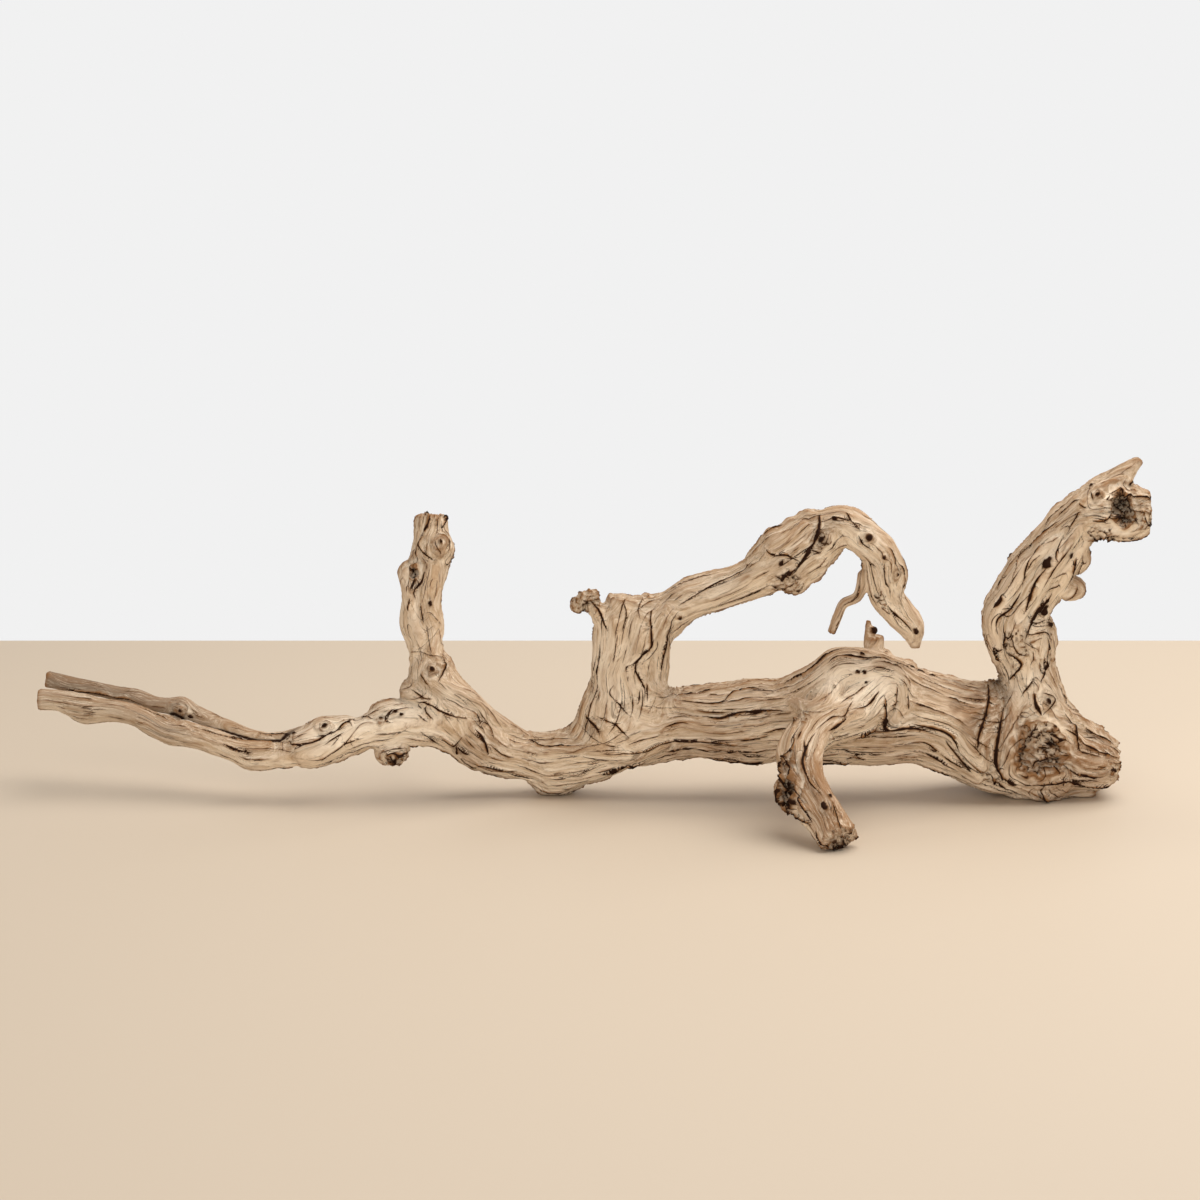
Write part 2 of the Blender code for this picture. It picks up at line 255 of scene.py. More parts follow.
# Marks that show from the front, each placed by X and Z where a line along Y first meets the skin.
# Drying cracks: half width, then the places that the crack runs through.
CRACKS = [
    # prongs and arm
    (0.9, (-205, 38), (-191, 34), (-180, 31.5), (-170, 30), (-153, 30)),
    (0.9, (-155, 30), (-146, 31), (-138, 33), (-130, 38)),
    (0.7, (-135, 31), (-125, 37)),
    (0.8, (-131, 36), (-125, 40), (-119, 42), (-111, 43)),
    (0.9, (-144, 23), (-137, 24), (-130, 28), (-124, 32), (-115, 34)),
    (0.4, (-114, 36), (-99, 36), (-91, 41)),
    (0.5, (-162, 28), (-149, 26)),
    (0.5, (-156, 20), (-146, 21)),
    (1.0, (-105, 25), (-101, 26), (-98, 25), (-93, 26)),
    (0.6, (-88, 37), (-84, 34), (-79, 31)),
    (0.9, (-77, 33), (-73, 30), (-70, 30), (-67, 34)),
    (0.9, (-70, 30), (-69, 24)),
    # left upright
    (1.2, (-83, 141), (-84, 136), (-86, 132)),
    (1.2, (-75, 141), (-77, 134)),
    (0.8, (-79, 141), (-80, 134)),
    (0.8, (-86, 131), (-88, 126), (-85, 122), (-79, 118)),
    (1.1, (-86, 114), (-87, 109), (-91, 104), (-90, 100)),
    (1.0, (-90, 112), (-92, 105)),
    (0.9, (-88, 99), (-87, 92), (-86, 88)),
    (0.9, (-93, 101), (-94, 94)),
    (0.9, (-85, 88), (-84, 81), (-82, 73)),
    (0.7, (-79, 86), (-78, 79), (-77, 74)),
    (0.9, (-77, 71), (-76, 67), (-79, 61)),
    (0.8, (-88, 65), (-83, 59)),
    (0.6, (-90, 81), (-88, 76), (-87, 70)),
    # where the left upright meets the trunk
    (0.9, (-93, 57), (-85, 53), (-81, 53)),
    (1.2, (-90, 51), (-84, 51), (-77, 47), (-72, 45), (-64, 43)),
    (0.8, (-78, 55), (-68, 49), (-61, 45), (-59, 41), (-56, 35)),
    (0.6, (-68, 53), (-61, 49), (-56, 41), (-51, 31)),
    (0.5, (-60, 52), (-53, 44), (-45, 33)),
    (1.2, (-61, 38), (-57, 32), (-54, 24)),
    # trunk
    (0.9, (-46, 34), (-40, 31), (-31, 28), (-23, 27), (-6, 29)),
    (0.6, (-10, 24), (7, 22), (21, 22)),
    (0.5, (-10, 39), (1, 31), (13, 28)),
    (0.8, (-3, 29), (2, 26), (9, 25), (23, 27), (35, 32), (51, 33), (70, 31), (77, 32)),
    (0.7, (20, 22), (31, 26), (42, 28), (60, 27), (88, 29)),
    (0.9, (70, 34), (85, 36)),
    (1.3, (52, 45), (60, 44), (71, 47), (92, 48)),
    (0.8, (29, 54), (39, 52), (59, 51), (70, 56), (87, 56)),
    (0.5, (20, 50), (27, 49), (44, 48)),
    (0.6, (-68, 22), (-48, 16), (-39, 15)),
    # stump beside the arch
    (1.1, (28, 99), (26, 95), (26, 81), (21, 75), (18, 70), (20, 64), (23, 58), (23, 52)),
    (0.6, (29, 84), (29, 79), (22, 71)),
    (0.7, (24, 79), (17, 71), (14, 69), (15, 64)),
    (0.8, (21, 59), (20, 50)),
    (0.7, (12, 102), (14, 95), (12, 87)),
    (0.6, (23, 103), (20, 98), (21, 92)),
    (1.2, (-5, 103), (1, 95), (5, 86)),
    (0.8, (8, 60), (6, 55), (12, 48), (16, 44)),
    (1.0, (-6, 44), (0, 38), (1, 34)),
    (0.8, (-1, 44), (8, 40), (16, 33)),
    # arch
    (1.0, (40, 101), (50, 107), (68, 117), (72, 120), (76, 125)),
    (0.6, (50, 97), (65, 103), (84, 112)),
    (0.4, (59, 102), (68, 107), (79, 113)),
    (1.0, (81, 132), (85, 129), (92, 129), (98, 126)),
    (2.0, (97, 123), (101, 129), (104, 134)),
    (1.5, (104, 134), (107, 141), (108, 147)),
    (1.1, (97, 123), (90, 119), (89, 115)),
    (0.8, (103, 132), (109, 130)),
    (1.0, (120, 149), (123, 145), (128, 141)),
    (0.6, (130, 128), (136, 122)),
    (0.9, (139, 125), (140, 115), (142, 112)),
    (0.8, (138, 103), (143, 98)),
    (1.1, (141, 103), (150, 94), (154, 89)),
    (0.9, (118, 96), (116, 93)),
    # boss
    (0.7, (132, 68), (138, 70), (146, 68)),
    (0.5, (105, 59), (116, 62), (126, 67)),
    (0.5, (97, 54), (113, 55)),
    (1.0, (105, 48), (114, 52), (119, 52), (125, 57)),
    (0.9, (124, 54), (131, 54), (138, 60)),
    (1.7, (140, 57), (139, 46), (143, 39), (153, 40), (164, 38)),
    (1.6, (111, 47), (120, 51)),
    (1.0, (120, 34), (128, 40), (138, 43)),
    (0.8, (123, 23), (127, 25), (134, 23)),
    (0.7, (147, 63), (146, 58), (145, 47)),
    (0.8, (152, 57), (153, 49)),
    (0.7, (155, 53), (171, 47), (175, 46)),
    (1.2, (155, 42), (165, 40), (174, 36), (179, 27)),
    (1.0, (171, 34), (176, 27), (185, 16)),
    (0.8, (153, 33), (161, 33), (169, 28)),
    (0.8, (159, 28), (170, 23), (180, 16)),
    (0.5, (127, 35), (138, 36), (150, 35)),
    # foot
    (1.2, (105, 47), (101, 43), (98, 36), (101, 30), (107, 25)),
    (1.2, (95, 47), (94, 42), (90, 37), (88, 28), (90, 21), (94, 17)),
    (1.0, (91, 37), (95, 25), (102, 13)),
    (1.1, (90, 15), (102, 12)),
    (1.0, (111, 23), (113, 17), (115, 11)),
    # base
    (1.6, (200, 48), (198, 41), (196, 30), (197, 20), (205, 12), (209, 10)),
    (0.9, (209, 10), (222, 11), (234, 12), (245, 7)),
    (1.6, (215, 56), (216, 50), (219, 45)),
    (0.9, (219, 56), (225, 54), (225, 51), (219, 45)),
    (1.2, (214, 18), (217, 22), (226, 25)),
    (1.8, (221, 31), (228, 33)),
    (1.0, (206, 29), (212, 36), (217, 42)),
    (1.0, (217, 29), (224, 28)),
    (0.8, (230, 47), (235, 37), (238, 27), (241, 25)),
    (1.0, (241, 37), (248, 31), (257, 27)),
    (0.9, (237, 32), (245, 27), (259, 21)),
    (1.2, (238, 16), (248, 13)),
    (1.0, (192, 18), (200, 10), (204, 6)),
    (1.3, (194, 59), (192, 49), (187, 35), (187, 30)),
    # right upright
    (1.1, (220, 120), (215, 113), (211, 102), (209, 95)),
    (2.0, (199, 105), (198, 102), (195, 98)),
    (1.2, (208, 107), (203, 98), (197, 93), (196, 87)),
    (1.2, (223, 107), (215, 97), (210, 83)),
    (0.8, (221, 135), (211, 122), (208, 108)),
    (0.8, (228, 145), (220, 137), (208, 123), (203, 112)),
    (0.8, (235, 148), (230, 139)),
    (0.8, (228, 137), (224, 126), (225, 123)),
    (0.8, (235, 135), (231, 129)),
    (1.3, (234, 125), (232, 116)),
    (0.8, (237, 127), (236, 115)),
    (0.9, (201, 85), (200, 77)),
    (1.1, (202, 77), (208, 72), (208, 68), (203, 60)),
    (0.9, (221, 80), (220, 68), (218, 59)),
    (0.9, (215, 64), (209, 54)),
    (0.8, (240, 158), (241, 154)),
    (0.9, (235, 152), (238, 150)),
    (1.2, (260, 163), (259, 160)),
    (0.9, (250, 149), (247, 145), (240, 144)),
    (1.0, (239, 133), (250, 137), (254, 136)),
]

# Knots and eyes: (x, z, radius, radius of the pit in the middle).
KNOTS = [
    (-78, 128, 4.5, 0.8), (-82, 67, 3, 1.3), (-135, 39, 4, 1.2), (-107, 43, 3, 0.8),
    (-208, 43, 3.5, 0.8), (108, 137, 4.5, 1.5), (131, 138, 3.5, 1.6), (139, 128, 2, 0.8),
    (145, 119, 3, 0.8), (40, 95, 2, 0.8), (113, 43, 2, 0.8), (222, 52, 4, 1.4), (243, 157, 3, 1),
]

# Pits and worm holes: (x, z, radius).
PITS = [
    (-91, 114, 1.8), (-101, 24, 1.4), (-100, 46, 0.9), (-97, 45, 0.9), (-203, 40, 1),
    (-83, 98, 1), (-150, 35, 0.8), (115, 146, 1.1), (89, 125, 1), (155, 90, 1.2), (128, 68, 0.9),
    (131, 68, 0.9), (132, 63, 0.8), (130, 75, 1), (136, 84, 1.4), (108, 21, 1.5), (110, 25, 0.8),
    (93, 22, 1.8), (115, 4, 2.2), (111, 3, 1.5), (220, 122, 2.0), (231, 126, 1), (219, 97, 2),
    (221, 89, 1.5), (241, 160, 1), (93, 27, 1.6), (94, 20, 1.2),
]

# The same on the far side, met from behind.
BACK_KNOTS = [
    (-84, 118, 4, 1.2), (-60, 34, 3, 0.8), (-12, 18, 4, 1.2), (24, 84, 5, 1.6), (60, 42, 3.5, 1),
    (97, 132, 4.5, 1.4), (120, 52, 5, 1.6), (170, 46, 4, 1.3), (208, 100, 5, 1.6), (232, 138, 4, 1),
    (190, 26, 5, 1.8), (236, 18, 3.5, 1), (-120, 36, 3, 0.8), (-190, 34, 2.5, 0.8), (141, 108, 3, 1),
]
BACK_PITS = [
    (-88, 96, 1.4), (-80, 70, 1), (-40, 22, 1.2), (16, 60, 1.5), (20, 98, 1), (42, 98, 1.2),
    (84, 36, 1.5), (104, 44, 1), (110, 138, 1.4), (150, 34, 1.8), (156, 52, 1), (206, 118, 1.8),
    (212, 72, 2), (216, 40, 1.6), (250, 148, 1.8), (-104, 40, 1.4), (-144, 26, 1), (-230, 38, 0.8),
]
BACK_PATCHES = [
    (-86, 62, 7), (8, 40, 6), (88, 124, 8), (116, 60, 8), (200, 56, 9), (248, 20, 8), (224, 128, 6),
    (250, 146, 7), (-102, 38, 6), (64, 28, 6),
]

# Patches of lumpy, broken skin: (x, z, radius).
ROUGH_PATCHES = [
    (206, 81, 8), (114, 5, 9), (-6, 101, 8), (-2, 86, 4), (91, 35, 5), (98, 52, 6), (92, 114, 8),
    (108, 137, 5), (246, 136, 8), (266, 146, 7), (-101, 22, 5), (138, 107, 4), (196, 14, 6),
]

# Patches of painted light and shade, partly the wood's own tone: lighter on upper faces, darker low
# down, under the arch and in the crotch by the base: (x, z, radius, tone from -1 dark to 1 light).
LIGHT_AND_TONE_PATCHES = [
    (120, 58, 16, 0.8), (140, 62, 12, 0.6), (-98, 40, 16, 0.8), (-124, 38, 12, 0.6),
    (-72, 50, 10, 0.5), (8, 72, 14, 0.5), (12, 50, 10, 0.4), (60, 108, 12, 0.4), (128, 136, 10, 0.5),
    (214, 92, 10, 0.5), (226, 130, 10, 0.5), (212, 60, 10, 0.5), (244, 150, 8, 0.4),
    (98, 30, 14, -0.8), (112, 14, 12, -0.7), (196, 36, 14, -0.7), (224, 14, 16, -0.7),
    (186, 50, 10, -0.8), (92, 120, 10, -0.5), (50, 28, 16, -0.5), (90, 30, 14, -0.7),
    (150, 26, 16, -0.6), (-60, 26, 12, -0.6), (250, 24, 12, -0.6), (-220, 36, 24, -0.4),
    (238, 14, 16, -0.7), (208, 28, 14, -0.6), (106, 22, 12, -0.5), (70, 26, 16, -0.5),
    (28, 24, 14, -0.4), (-140, 32, 12, 0.5),
]

# Brown patches, mostly painted shade in crotches and beside the foot, partly the wood's own stains:
# (x, z, radius).
SHADE_AND_STAIN_PATCHES = [
    (177, 50, 4), (181, 57, 4), (187, 53, 4), (192, 55, 5), (190, 45, 4), (184, 40, 6),
    (195, 62, 4), (91, 35, 6), (93, 25, 8), (108, 138, 5), (-70, 27, 4), (-3, 38, 5),
]


# ---- Smooth random values ----
SHUFFLE = np.random.default_rng(7).permutation(256).astype(np.int32)
SLOPES = np.random.default_rng(8).normal(size=(256, 3)).astype(np.float32)
SLOPES /= np.linalg.norm(SLOPES, axis=1)[:, None]
NOISE_GAIN = 1.7
SEED_SHIFT = 17.31  # between the noises of two seeds, in cells
TABLE_MASK = 255


def noise(places, seed=0):
    """Gradient noise, about -1 to 1, on cells one unit wide."""
    places = places.astype(np.float32) + np.float32(seed * SEED_SHIFT)
    cell = np.floor(places)
    inside = places - cell
    cell = cell.astype(np.int32)
    fade = inside * inside * inside * (inside * (inside * 6 - 15) + 10)
    total = np.zeros(len(places), dtype=np.float32)
    for corner in product((0, 1), repeat=3):
        near = cell + np.array(corner, dtype=np.int32)
        pick = SHUFFLE[near[:, 0] & TABLE_MASK]
        pick = SHUFFLE[(pick + near[:, 1]) & TABLE_MASK]
        pick = SHUFFLE[(pick + near[:, 2]) & TABLE_MASK]
        share = np.ones(len(places), dtype=np.float32)
        for axis, side in enumerate(corner):
            share *= fade[:, axis] if side else 1 - fade[:, axis]
        total += share * (SLOPES[pick] * (inside - np.array(corner, dtype=np.float32))).sum(axis=1)
    return total * NOISE_GAIN


def step(values, low, high):
    """Smooth step from 0 at low to 1 at high."""
    t = np.clip((values - low) / (high - low), 0.0, 1.0)
    return t * t * (3 - 2 * t)


# ---- Lines of the limbs ----
def smooth_line(knots, gap):
    """Points about a gap apart on a smooth line through the knots."""
    knots = np.array(knots, dtype=float)
    before = np.vstack((2 * knots[0] - knots[1], knots[:-1]))
    after = np.vstack((knots[1:], 2 * knots[-1] - knots[-2]))
    slopes = (after - before) / 2
    pieces = []
    for n in range(len(knots) - 1):
        count = max(2, math.ceil(np.linalg.norm(knots[n + 1, :3] - knots[n, :3]) / gap))
        t = (np.arange(count) / count)[:, None]
        pieces.append(
            (2 * t**3 - 3 * t**2 + 1) * knots[n]
            + (t**3 - 2 * t**2 + t) * slopes[n]
            + (3 * t**2 - 2 * t**3) * knots[n + 1]
            + (t**3 - t**2) * slopes[n + 1]
        )
    return np.vstack((*pieces, knots[-1:]))


CHUNK = 8192  # how many points are measured at a time


def unit(vectors):
    return vectors / np.maximum(np.linalg.norm(vectors, axis=-1, keepdims=True), 1e-9)


def turned(vector, start, end):
    """The vector, turned the shortest way that brings start to end."""
    turn = Vector(start).rotation_difference(Vector(end))
    return np.array(turn @ Vector(vector))


class Limb:
    """One limb's line: balls along it, and the frame that straightens it into grain coordinates."""

    def __init__(self, points, blend, parent=None, ragged=None):
        line = smooth_line(points, SAMPLE_STEP)
        self.places = line[:, :3]
        self.radii = line[:, 3]
        self.blend = blend
        self.ragged = ragged
        self.ahead = unit(np.gradient(self.places, axis=0))
        steps = np.linalg.norm(np.diff(self.places, axis=0), axis=1)
        self.along = np.concatenate(([0.0], np.cumsum(steps)))
        side = np.array((0.0, 1.0, 0.0))
        self.start = np.zeros(3)
        self.sense = 1.0
        if parent:
            near = np.argmin(np.linalg.norm(parent.places - self.places[0], axis=1))
            self.sense = 1.0 if parent.ahead[near] @ self.ahead[0] >= 0 else -1.0
            self.start = parent.grain_at(self.places[:1], np.array([near]))[0]
            side = turned(parent.side[near], parent.ahead[near], self.ahead[0] * self.sense)
        self.side = np.empty_like(self.places)
        for n, ahead in enumerate(self.ahead):
            side = unit(side - (side @ ahead) * ahead)
            self.side[n] = side
        self.across = np.cross(self.ahead * self.sense, self.side)

    def grain_at(self, points, near):
        """Places in the straightened wood: along the grain, and two ways across it."""
        away = points - self.places[near]
        forward = (away * self.ahead[near]).sum(axis=1)
        return self.start + np.stack(
            (
                self.sense * (self.along[near] + forward),
                (away * self.side[near]).sum(axis=1),
                (away * self.across[near]).sum(axis=1),
            ),
            axis=1,
        )

    def nearest(self, points):
        """For each point, the ball whose surface is nearest, and the distance to that surface."""
        near = np.empty(len(points), dtype=np.int32)
        gap = np.empty(len(points), dtype=np.float32)
        balls = self.places.astype(np.float32)
        radii = self.radii.astype(np.float32)
        for first in range(0, len(points), CHUNK):
            part = points[first : first + CHUNK].astype(np.float32)
            squares = (part**2).sum(axis=1)[:, None] - 2 * part @ balls.T + (balls**2).sum(axis=1)
            gaps = np.sqrt(np.maximum(squares, 0)) - radii
            pick = gaps.argmin(axis=1)
            near[first : first + CHUNK] = pick
            gap[first : first + CHUNK] = gaps[np.arange(len(part)), pick]
        return near, gap


def make_limbs():
    limbs = {}
    for name, points in LIMBS.items():
        parent, blend = ROOTS[name]
        limbs[name] = Limb(points, blend, limbs.get(parent), RAGGED_ENDS.get(name, CLEAN_CUT))
    return limbs


# ---- The distance field ----
def blend_in(field, other, radius):
    """Smooth union of two distance fields, in place."""
    share = np.maximum(radius - np.abs(field - other), 0.0) / radius
    np.minimum(field, other, out=field)
    field -= share * share * (radius / 4)


CUT_REACH = 1.9  # how far round a limb's end its break is cut, in the end's radius
FIBRE_LENGTH, FIBRE_WIDTH = 30, 2.2  # where a limb broke off, mm


class Field:
    """A distance field in millimetres on a regular grid."""

    def __init__(self, first, shape, outside):
        self.first = np.asarray(first)
        self.values = np.full(shape, outside, dtype=np.float32)

    @classmethod
    def around(cls, low, high, outside):
        first = np.floor(np.asarray(low) / VOXEL).astype(int)
        shape = np.ceil(np.asarray(high) / VOXEL).astype(int) - first + 1
        return cls(first, shape, outside)

    def block(self, low, high):
        """The slices of the grid that hold a box."""
        start = np.floor(np.asarray(low) / VOXEL).astype(int) - self.first
        stop = np.ceil(np.asarray(high) / VOXEL).astype(int) - self.first + 1
        limits = (np.clip(end, 0, self.values.shape) for end in (start, stop))
        return tuple(slice(m, n) for m, n in zip(*limits))

    def axes(self, block):
        """The places of a block's voxels along X, Y and Z, shaped to be added together."""
        flat = [(np.arange(s.start, s.stop) + f) * VOXEL for s, f in zip(block, self.first)]
        return [
            a.astype(np.float32).reshape([-1 if n == axis else 1 for n in range(3)])
            for axis, a in enumerate(flat)
        ]

    def add_ball(self, place, radius, reach):
        block = self.block(place - radius - reach, place + radius + reach)
        x, y, z = self.axes(block)
        squares = (x - place[0]) ** 2 + (y - place[1]) ** 2 + (z - place[2]) ** 2
        part = self.values[block]
        np.minimum(part, np.sqrt(squares) - np.float32(radius), out=part)

    def add_limb(self, limb):
        reach = MARGIN + limb.blend
        spread = limb.radii[:, None] + reach
        block = self.block((limb.places - spread).min(axis=0), (limb.places + spread).max(axis=0))
        own = Field(self.first + [s.start for s in block], [s.stop - s.start for s in block], reach)
        for place, radius in zip(limb.places, limb.radii):
            own.add_ball(place, radius, reach)
        if limb.ragged:
            own.cut_end(limb)
        blend_in(self.values[block], own.values, limb.blend)

    def cut_end(self, limb):
        """Ends the limb in a cut across the grain, or in a break with fibres standing out."""
        place = limb.places[-1]
        ahead = limb.ahead[-1]
        size = CUT_REACH * limb.radii[-1] + MARGIN
        block = self.block(place - size, place + size)
        x, y, z = self.axes(block)
        beyond = (x - place[0]) * ahead[0] + (y - place[1]) * ahead[1] + (z - place[2]) * ahead[2]
        grid = np.stack(np.broadcast_arrays(x, y, z), axis=-1).reshape(-1, 3)
        away = grid - place
        sideways = (away @ limb.side[-1] / FIBRE_WIDTH, away @ limb.across[-1] / FIBRE_WIDTH)
        fibres = np.stack((away @ ahead / FIBRE_LENGTH, *sideways), axis=1)
        stand = np.abs(noise(fibres, 3)) - 0.35 + 0.4 * noise(fibres * 0.45, 4)
        beyond = beyond - (limb.ragged * np.minimum(stand, 0.0)).reshape(beyond.shape)
        part = self.values[block]
        np.maximum(part, np.where(np.abs(beyond) < size, beyond, -size), out=part)

    def add_burl(self, place, radii):
        place = np.array(place)
        radii = np.array(radii)
        reach = MARGIN + BURL_BLEND
        block = self.block(place - radii - reach, place + radii + reach)
        x, y, z = ((a - c) / r for a, c, r in zip(self.axes(block), place, radii))
        burl = (np.sqrt(x * x + y * y + z * z) - 1) * radii.min()
        blend_in(self.values[block], burl.astype(np.float32), BURL_BLEND)

    def front(self, x, z):
        """Where a line along Y first meets the wood."""
        column, row = round(x / VOXEL) - self.first[0], round(z / VOXEL) - self.first[2]
        return (np.argmax(self.values[column, :, row] < 0) + self.first[1]) * VOXEL

    def cut_hollow(self, hollow):
        place = np.array(hollow[:3])
        size = max(hollow[3:6]) + MARGIN
        block = self.block(place - size, place + size)
        grid = np.stack(np.broadcast_arrays(*self.axes(block)), axis=-1)
        wall = hollow_distance(grid.reshape(-1, 3), hollow).reshape(grid.shape[:3])
        part = self.values[block]
        np.maximum(part, -wall.astype(np.float32), out=part)

    def wear_flat(self):
        """The floor plane, where the branch rests."""
        z = self.axes(tuple(slice(0, n) for n in self.values.shape))[2]
        np.maximum(self.values, -z, out=self.values)

    def quads(self):
        """The field's zero surface, as points in millimetres and faces."""
        grid = openvdb.FloatGrid(MARGIN)
        grid.copyFromArray(np.clip(self.values, -MARGIN, MARGIN))
        points, quads = grid.convertToQuads()
        return (points + self.first) * VOXEL, quads[:, ::-1].astype(np.int64)


def add_strands(field, limbs):
    """Raised strands on the front, sunk into the wood that is there already."""
    for parent, radius, *path in STRANDS:
        tip = radius * STRAND_TAPER
        girths = [tip, *[radius] * (len(path) - 2), tip]
        points = [
            (x, field.front(x, z) + STRAND_SINK * girth, z, girth)
            for (x, z), girth in zip(path, girths)
        ]
        strand = Limb(points, STRAND_BLEND, limbs[parent])
        field.add_limb(strand)
        limbs[f"{parent}_strand_{len(limbs)}"] = strand


def grow(limbs):
    """The distance field of the whole branch."""
    places = np.vstack([limb.places for limb in limbs.values()])
    radii = np.concatenate([limb.radii for limb in limbs.values()])[:, None]
    low, high = (places - radii).min(axis=0), (places + radii).max(axis=0)
    field = Field.around(low - MARGIN, high + MARGIN, MARGIN)
    for limb in limbs.values():
        field.add_limb(limb)
    for burl in BURLS.values():
        field.add_burl(burl[:3], burl[3:])
    add_strands(field, limbs)
    for hollow in (*HOLLOWS.values(), *SMALL_HOLLOWS.values()):
        field.cut_hollow(hollow)
    field.wear_flat()
    return field


# ---- The skin ----
class Skin:
    """The branch's surface mesh, with its values at each point."""

    def __init__(self, points, quads):
        self.points = points
        self.quads = quads
        self.start = quads.reshape(-1)
        self.end = np.roll(quads, -1, axis=1).reshape(-1)
        self.count = np.maximum(np.bincount(self.start, minlength=len(points)), 1)
        self.update_normals()

    def update_normals(self):
        p = self.points
        q = self.quads
        face = np.cross(p[q[:, 2]] - p[q[:, 0]], p[q[:, 3]] - p[q[:, 1]])
        total = np.zeros_like(p)
        for corner in range(4):
            for axis in range(3):
                total[:, axis] += np.bincount(q[:, corner], weights=face[:, axis], minlength=len(p))
        self.normals = unit(total)

    def mean(self, values):
        """The mean over each point's neighbours."""
        if values.ndim > 1:
            return np.stack([self.mean(column) for column in values.T], axis=1)
        total = np.bincount(self.start, weights=values[self.end], minlength=len(self.points))
        return total / self.count

    def smooth(self, values, passes):
        for _ in range(passes):
            values = 0.5 * values + 0.5 * self.mean(values)
        return values


GRAIN_BLEND = 2.2  # how softly one limb's grain gives way to the next one's, mm
GRAIN_REACH = 14  # of a limb's grain beyond its girth, mm
FAR_OFF = 99.0  # stands for the distance to a limb out of reach, mm
LEAST_SHARE = 0.02  # of a limb in the blend, next to the nearest limb's


def straighten(skin, limbs):
    """Grain coordinates of the skin, blended between limbs, with the grain's frame, the limb's girth,
    and how far each point is from where the upper prong parts from the rest."""
    points = skin.points
    count = len(points)
    gaps = np.full((len(limbs), count), FAR_OFF, dtype=np.float32)
    nears = np.zeros((len(limbs), count), dtype=np.int32)
    for n, limb in enumerate(limbs.values()):
        reach = limb.radii.max() + GRAIN_REACH
        low, high = limb.places.min(axis=0) - reach, limb.places.max(axis=0) + reach
        inside = np.all((points > low) & (points < high), axis=1)
        nears[n, inside], gaps[n, inside] = limb.nearest(points[inside])
    least = gaps.min(axis=0)
    prong = list(limbs).index("upper_prong")
    others = np.delete(gaps, prong, axis=0).min(axis=0)
    parting = gaps[prong] - others
    weights = np.exp(-(gaps - least) / GRAIN_BLEND)
    weights[weights < LEAST_SHARE] = 0.0
    weights /= weights.sum(axis=0)
    grain = np.zeros((count, 3))
    girth = np.zeros(count)
    frame_axes = np.zeros((3, count, 3))
    for n, limb in enumerate(limbs.values()):
        part = weights[n] > 0
        near = nears[n, part]
        share = weights[n, part][:, None]
        grain[part] += share * limb.grain_at(points[part], near)
        girth[part] += share[:, 0] * limb.radii[near]
        frame_axes[0, part] += share * limb.ahead[near] * limb.sense
        frame_axes[1, part] += share * limb.side[near]
        frame_axes[2, part] += share * limb.across[near]
    return grain, unit(frame_axes), girth, parting


# ---- Finding places on the skin ----
FRONT, BACK = -200.0, 200.0  # places before and behind the whole branch, mm


class Places:
    """Finds points of the smooth skin: the nearest one, or the one that shows from the front."""

    def __init__(self, skin):
        self.skin = skin
        self.tree = tree_of(skin.points)
        self.hull = BVHTree.FromPolygons(skin.points.tolist(), skin.quads.tolist())

    def nearest(self, place):
        return self.tree.find(place)[1]

    def meet(self, x, z, start, sense):
        """Where a line along Y first meets the skin; beside the branch, the nearest point to it."""
        hit = self.hull.ray_cast((x, start, z), (0, sense, 0))[0]
        if hit is None:
            hit = self.hull.find_nearest((x, 0, z))[0]
        return np.array(hit)

    def front(self, x, z):
        return self.meet(x, z, FRONT, 1)

    def back(self, x, z):
        return self.meet(x, z, BACK, -1)

    def around(self, place, reach):
        """The points within reach of a place, and how they lie from it."""
        near = np.flatnonzero(np.all(np.abs(self.skin.points - place) < reach, axis=1))
        away = self.skin.points[near] - place
        inside = (away**2).sum(axis=1) < reach**2
        return near[inside], away[inside]


def tree_of(points):
    tree = KDTree(len(points))
    for n, point in enumerate(points.tolist()):
        tree.insert(point, n)
    tree.balance()
    return tree


# ---- The run of the grain ----
DRIFTS = ((34.0, 2.6), (13.0, 1.1), (6.0, 0.3))  # size and push of the fibres' sideways waves, mm


def drift(points):
    """How far the fibres have wandered to the side, two ways across the grain."""
    total = np.zeros((len(points), 2))
    for size, push in DRIFTS:
        for axis in range(2):
            total[:, axis] += push * noise(points / size, 20 + axis)
    return total


def wander(skin, grain, axes):
    """Lets the grain drift from side to side. Gives its direction at each point."""
    start = drift(skin.points)
    slope = drift(skin.points + axes[0]) - start
    grain[:, 1:] += start
    return unit(axes[0] - slope[:, :1] * axes[1] - slope[:, 1:] * axes[2])


KNOT_PULL = 5  # how far a knot bends the grain, in its own radii


def part_round_knot(skin, places, grain, axes, flow, centre, size):
    """Bends the grain round a knot, as a stream parts round a stone."""
    near, away = places.around(centre, KNOT_PULL * size)
    middle = places.nearest(centre)
    ahead = flow[middle]
    across = unit(np.cross(skin.normals[middle], ahead))
    u = away @ ahead
    v = away @ across
    square = u * u + v * v + 0.25 * size**2
    fade = step(np.sqrt(square), KNOT_PULL * size, 2 * size)
    shift = -fade * v * size**2 / square
    grain[near, 1] += shift * (axes[1][near] @ across)
    grain[near, 2] += shift * (axes[2][near] @ across)
    pull = fade * size**2 / square**2
    bent = flow[near] * (1 - pull * (u * u - v * v))[:, None] - across * (2 * pull * u * v)[:, None]
    flow[near] = unit(bent)


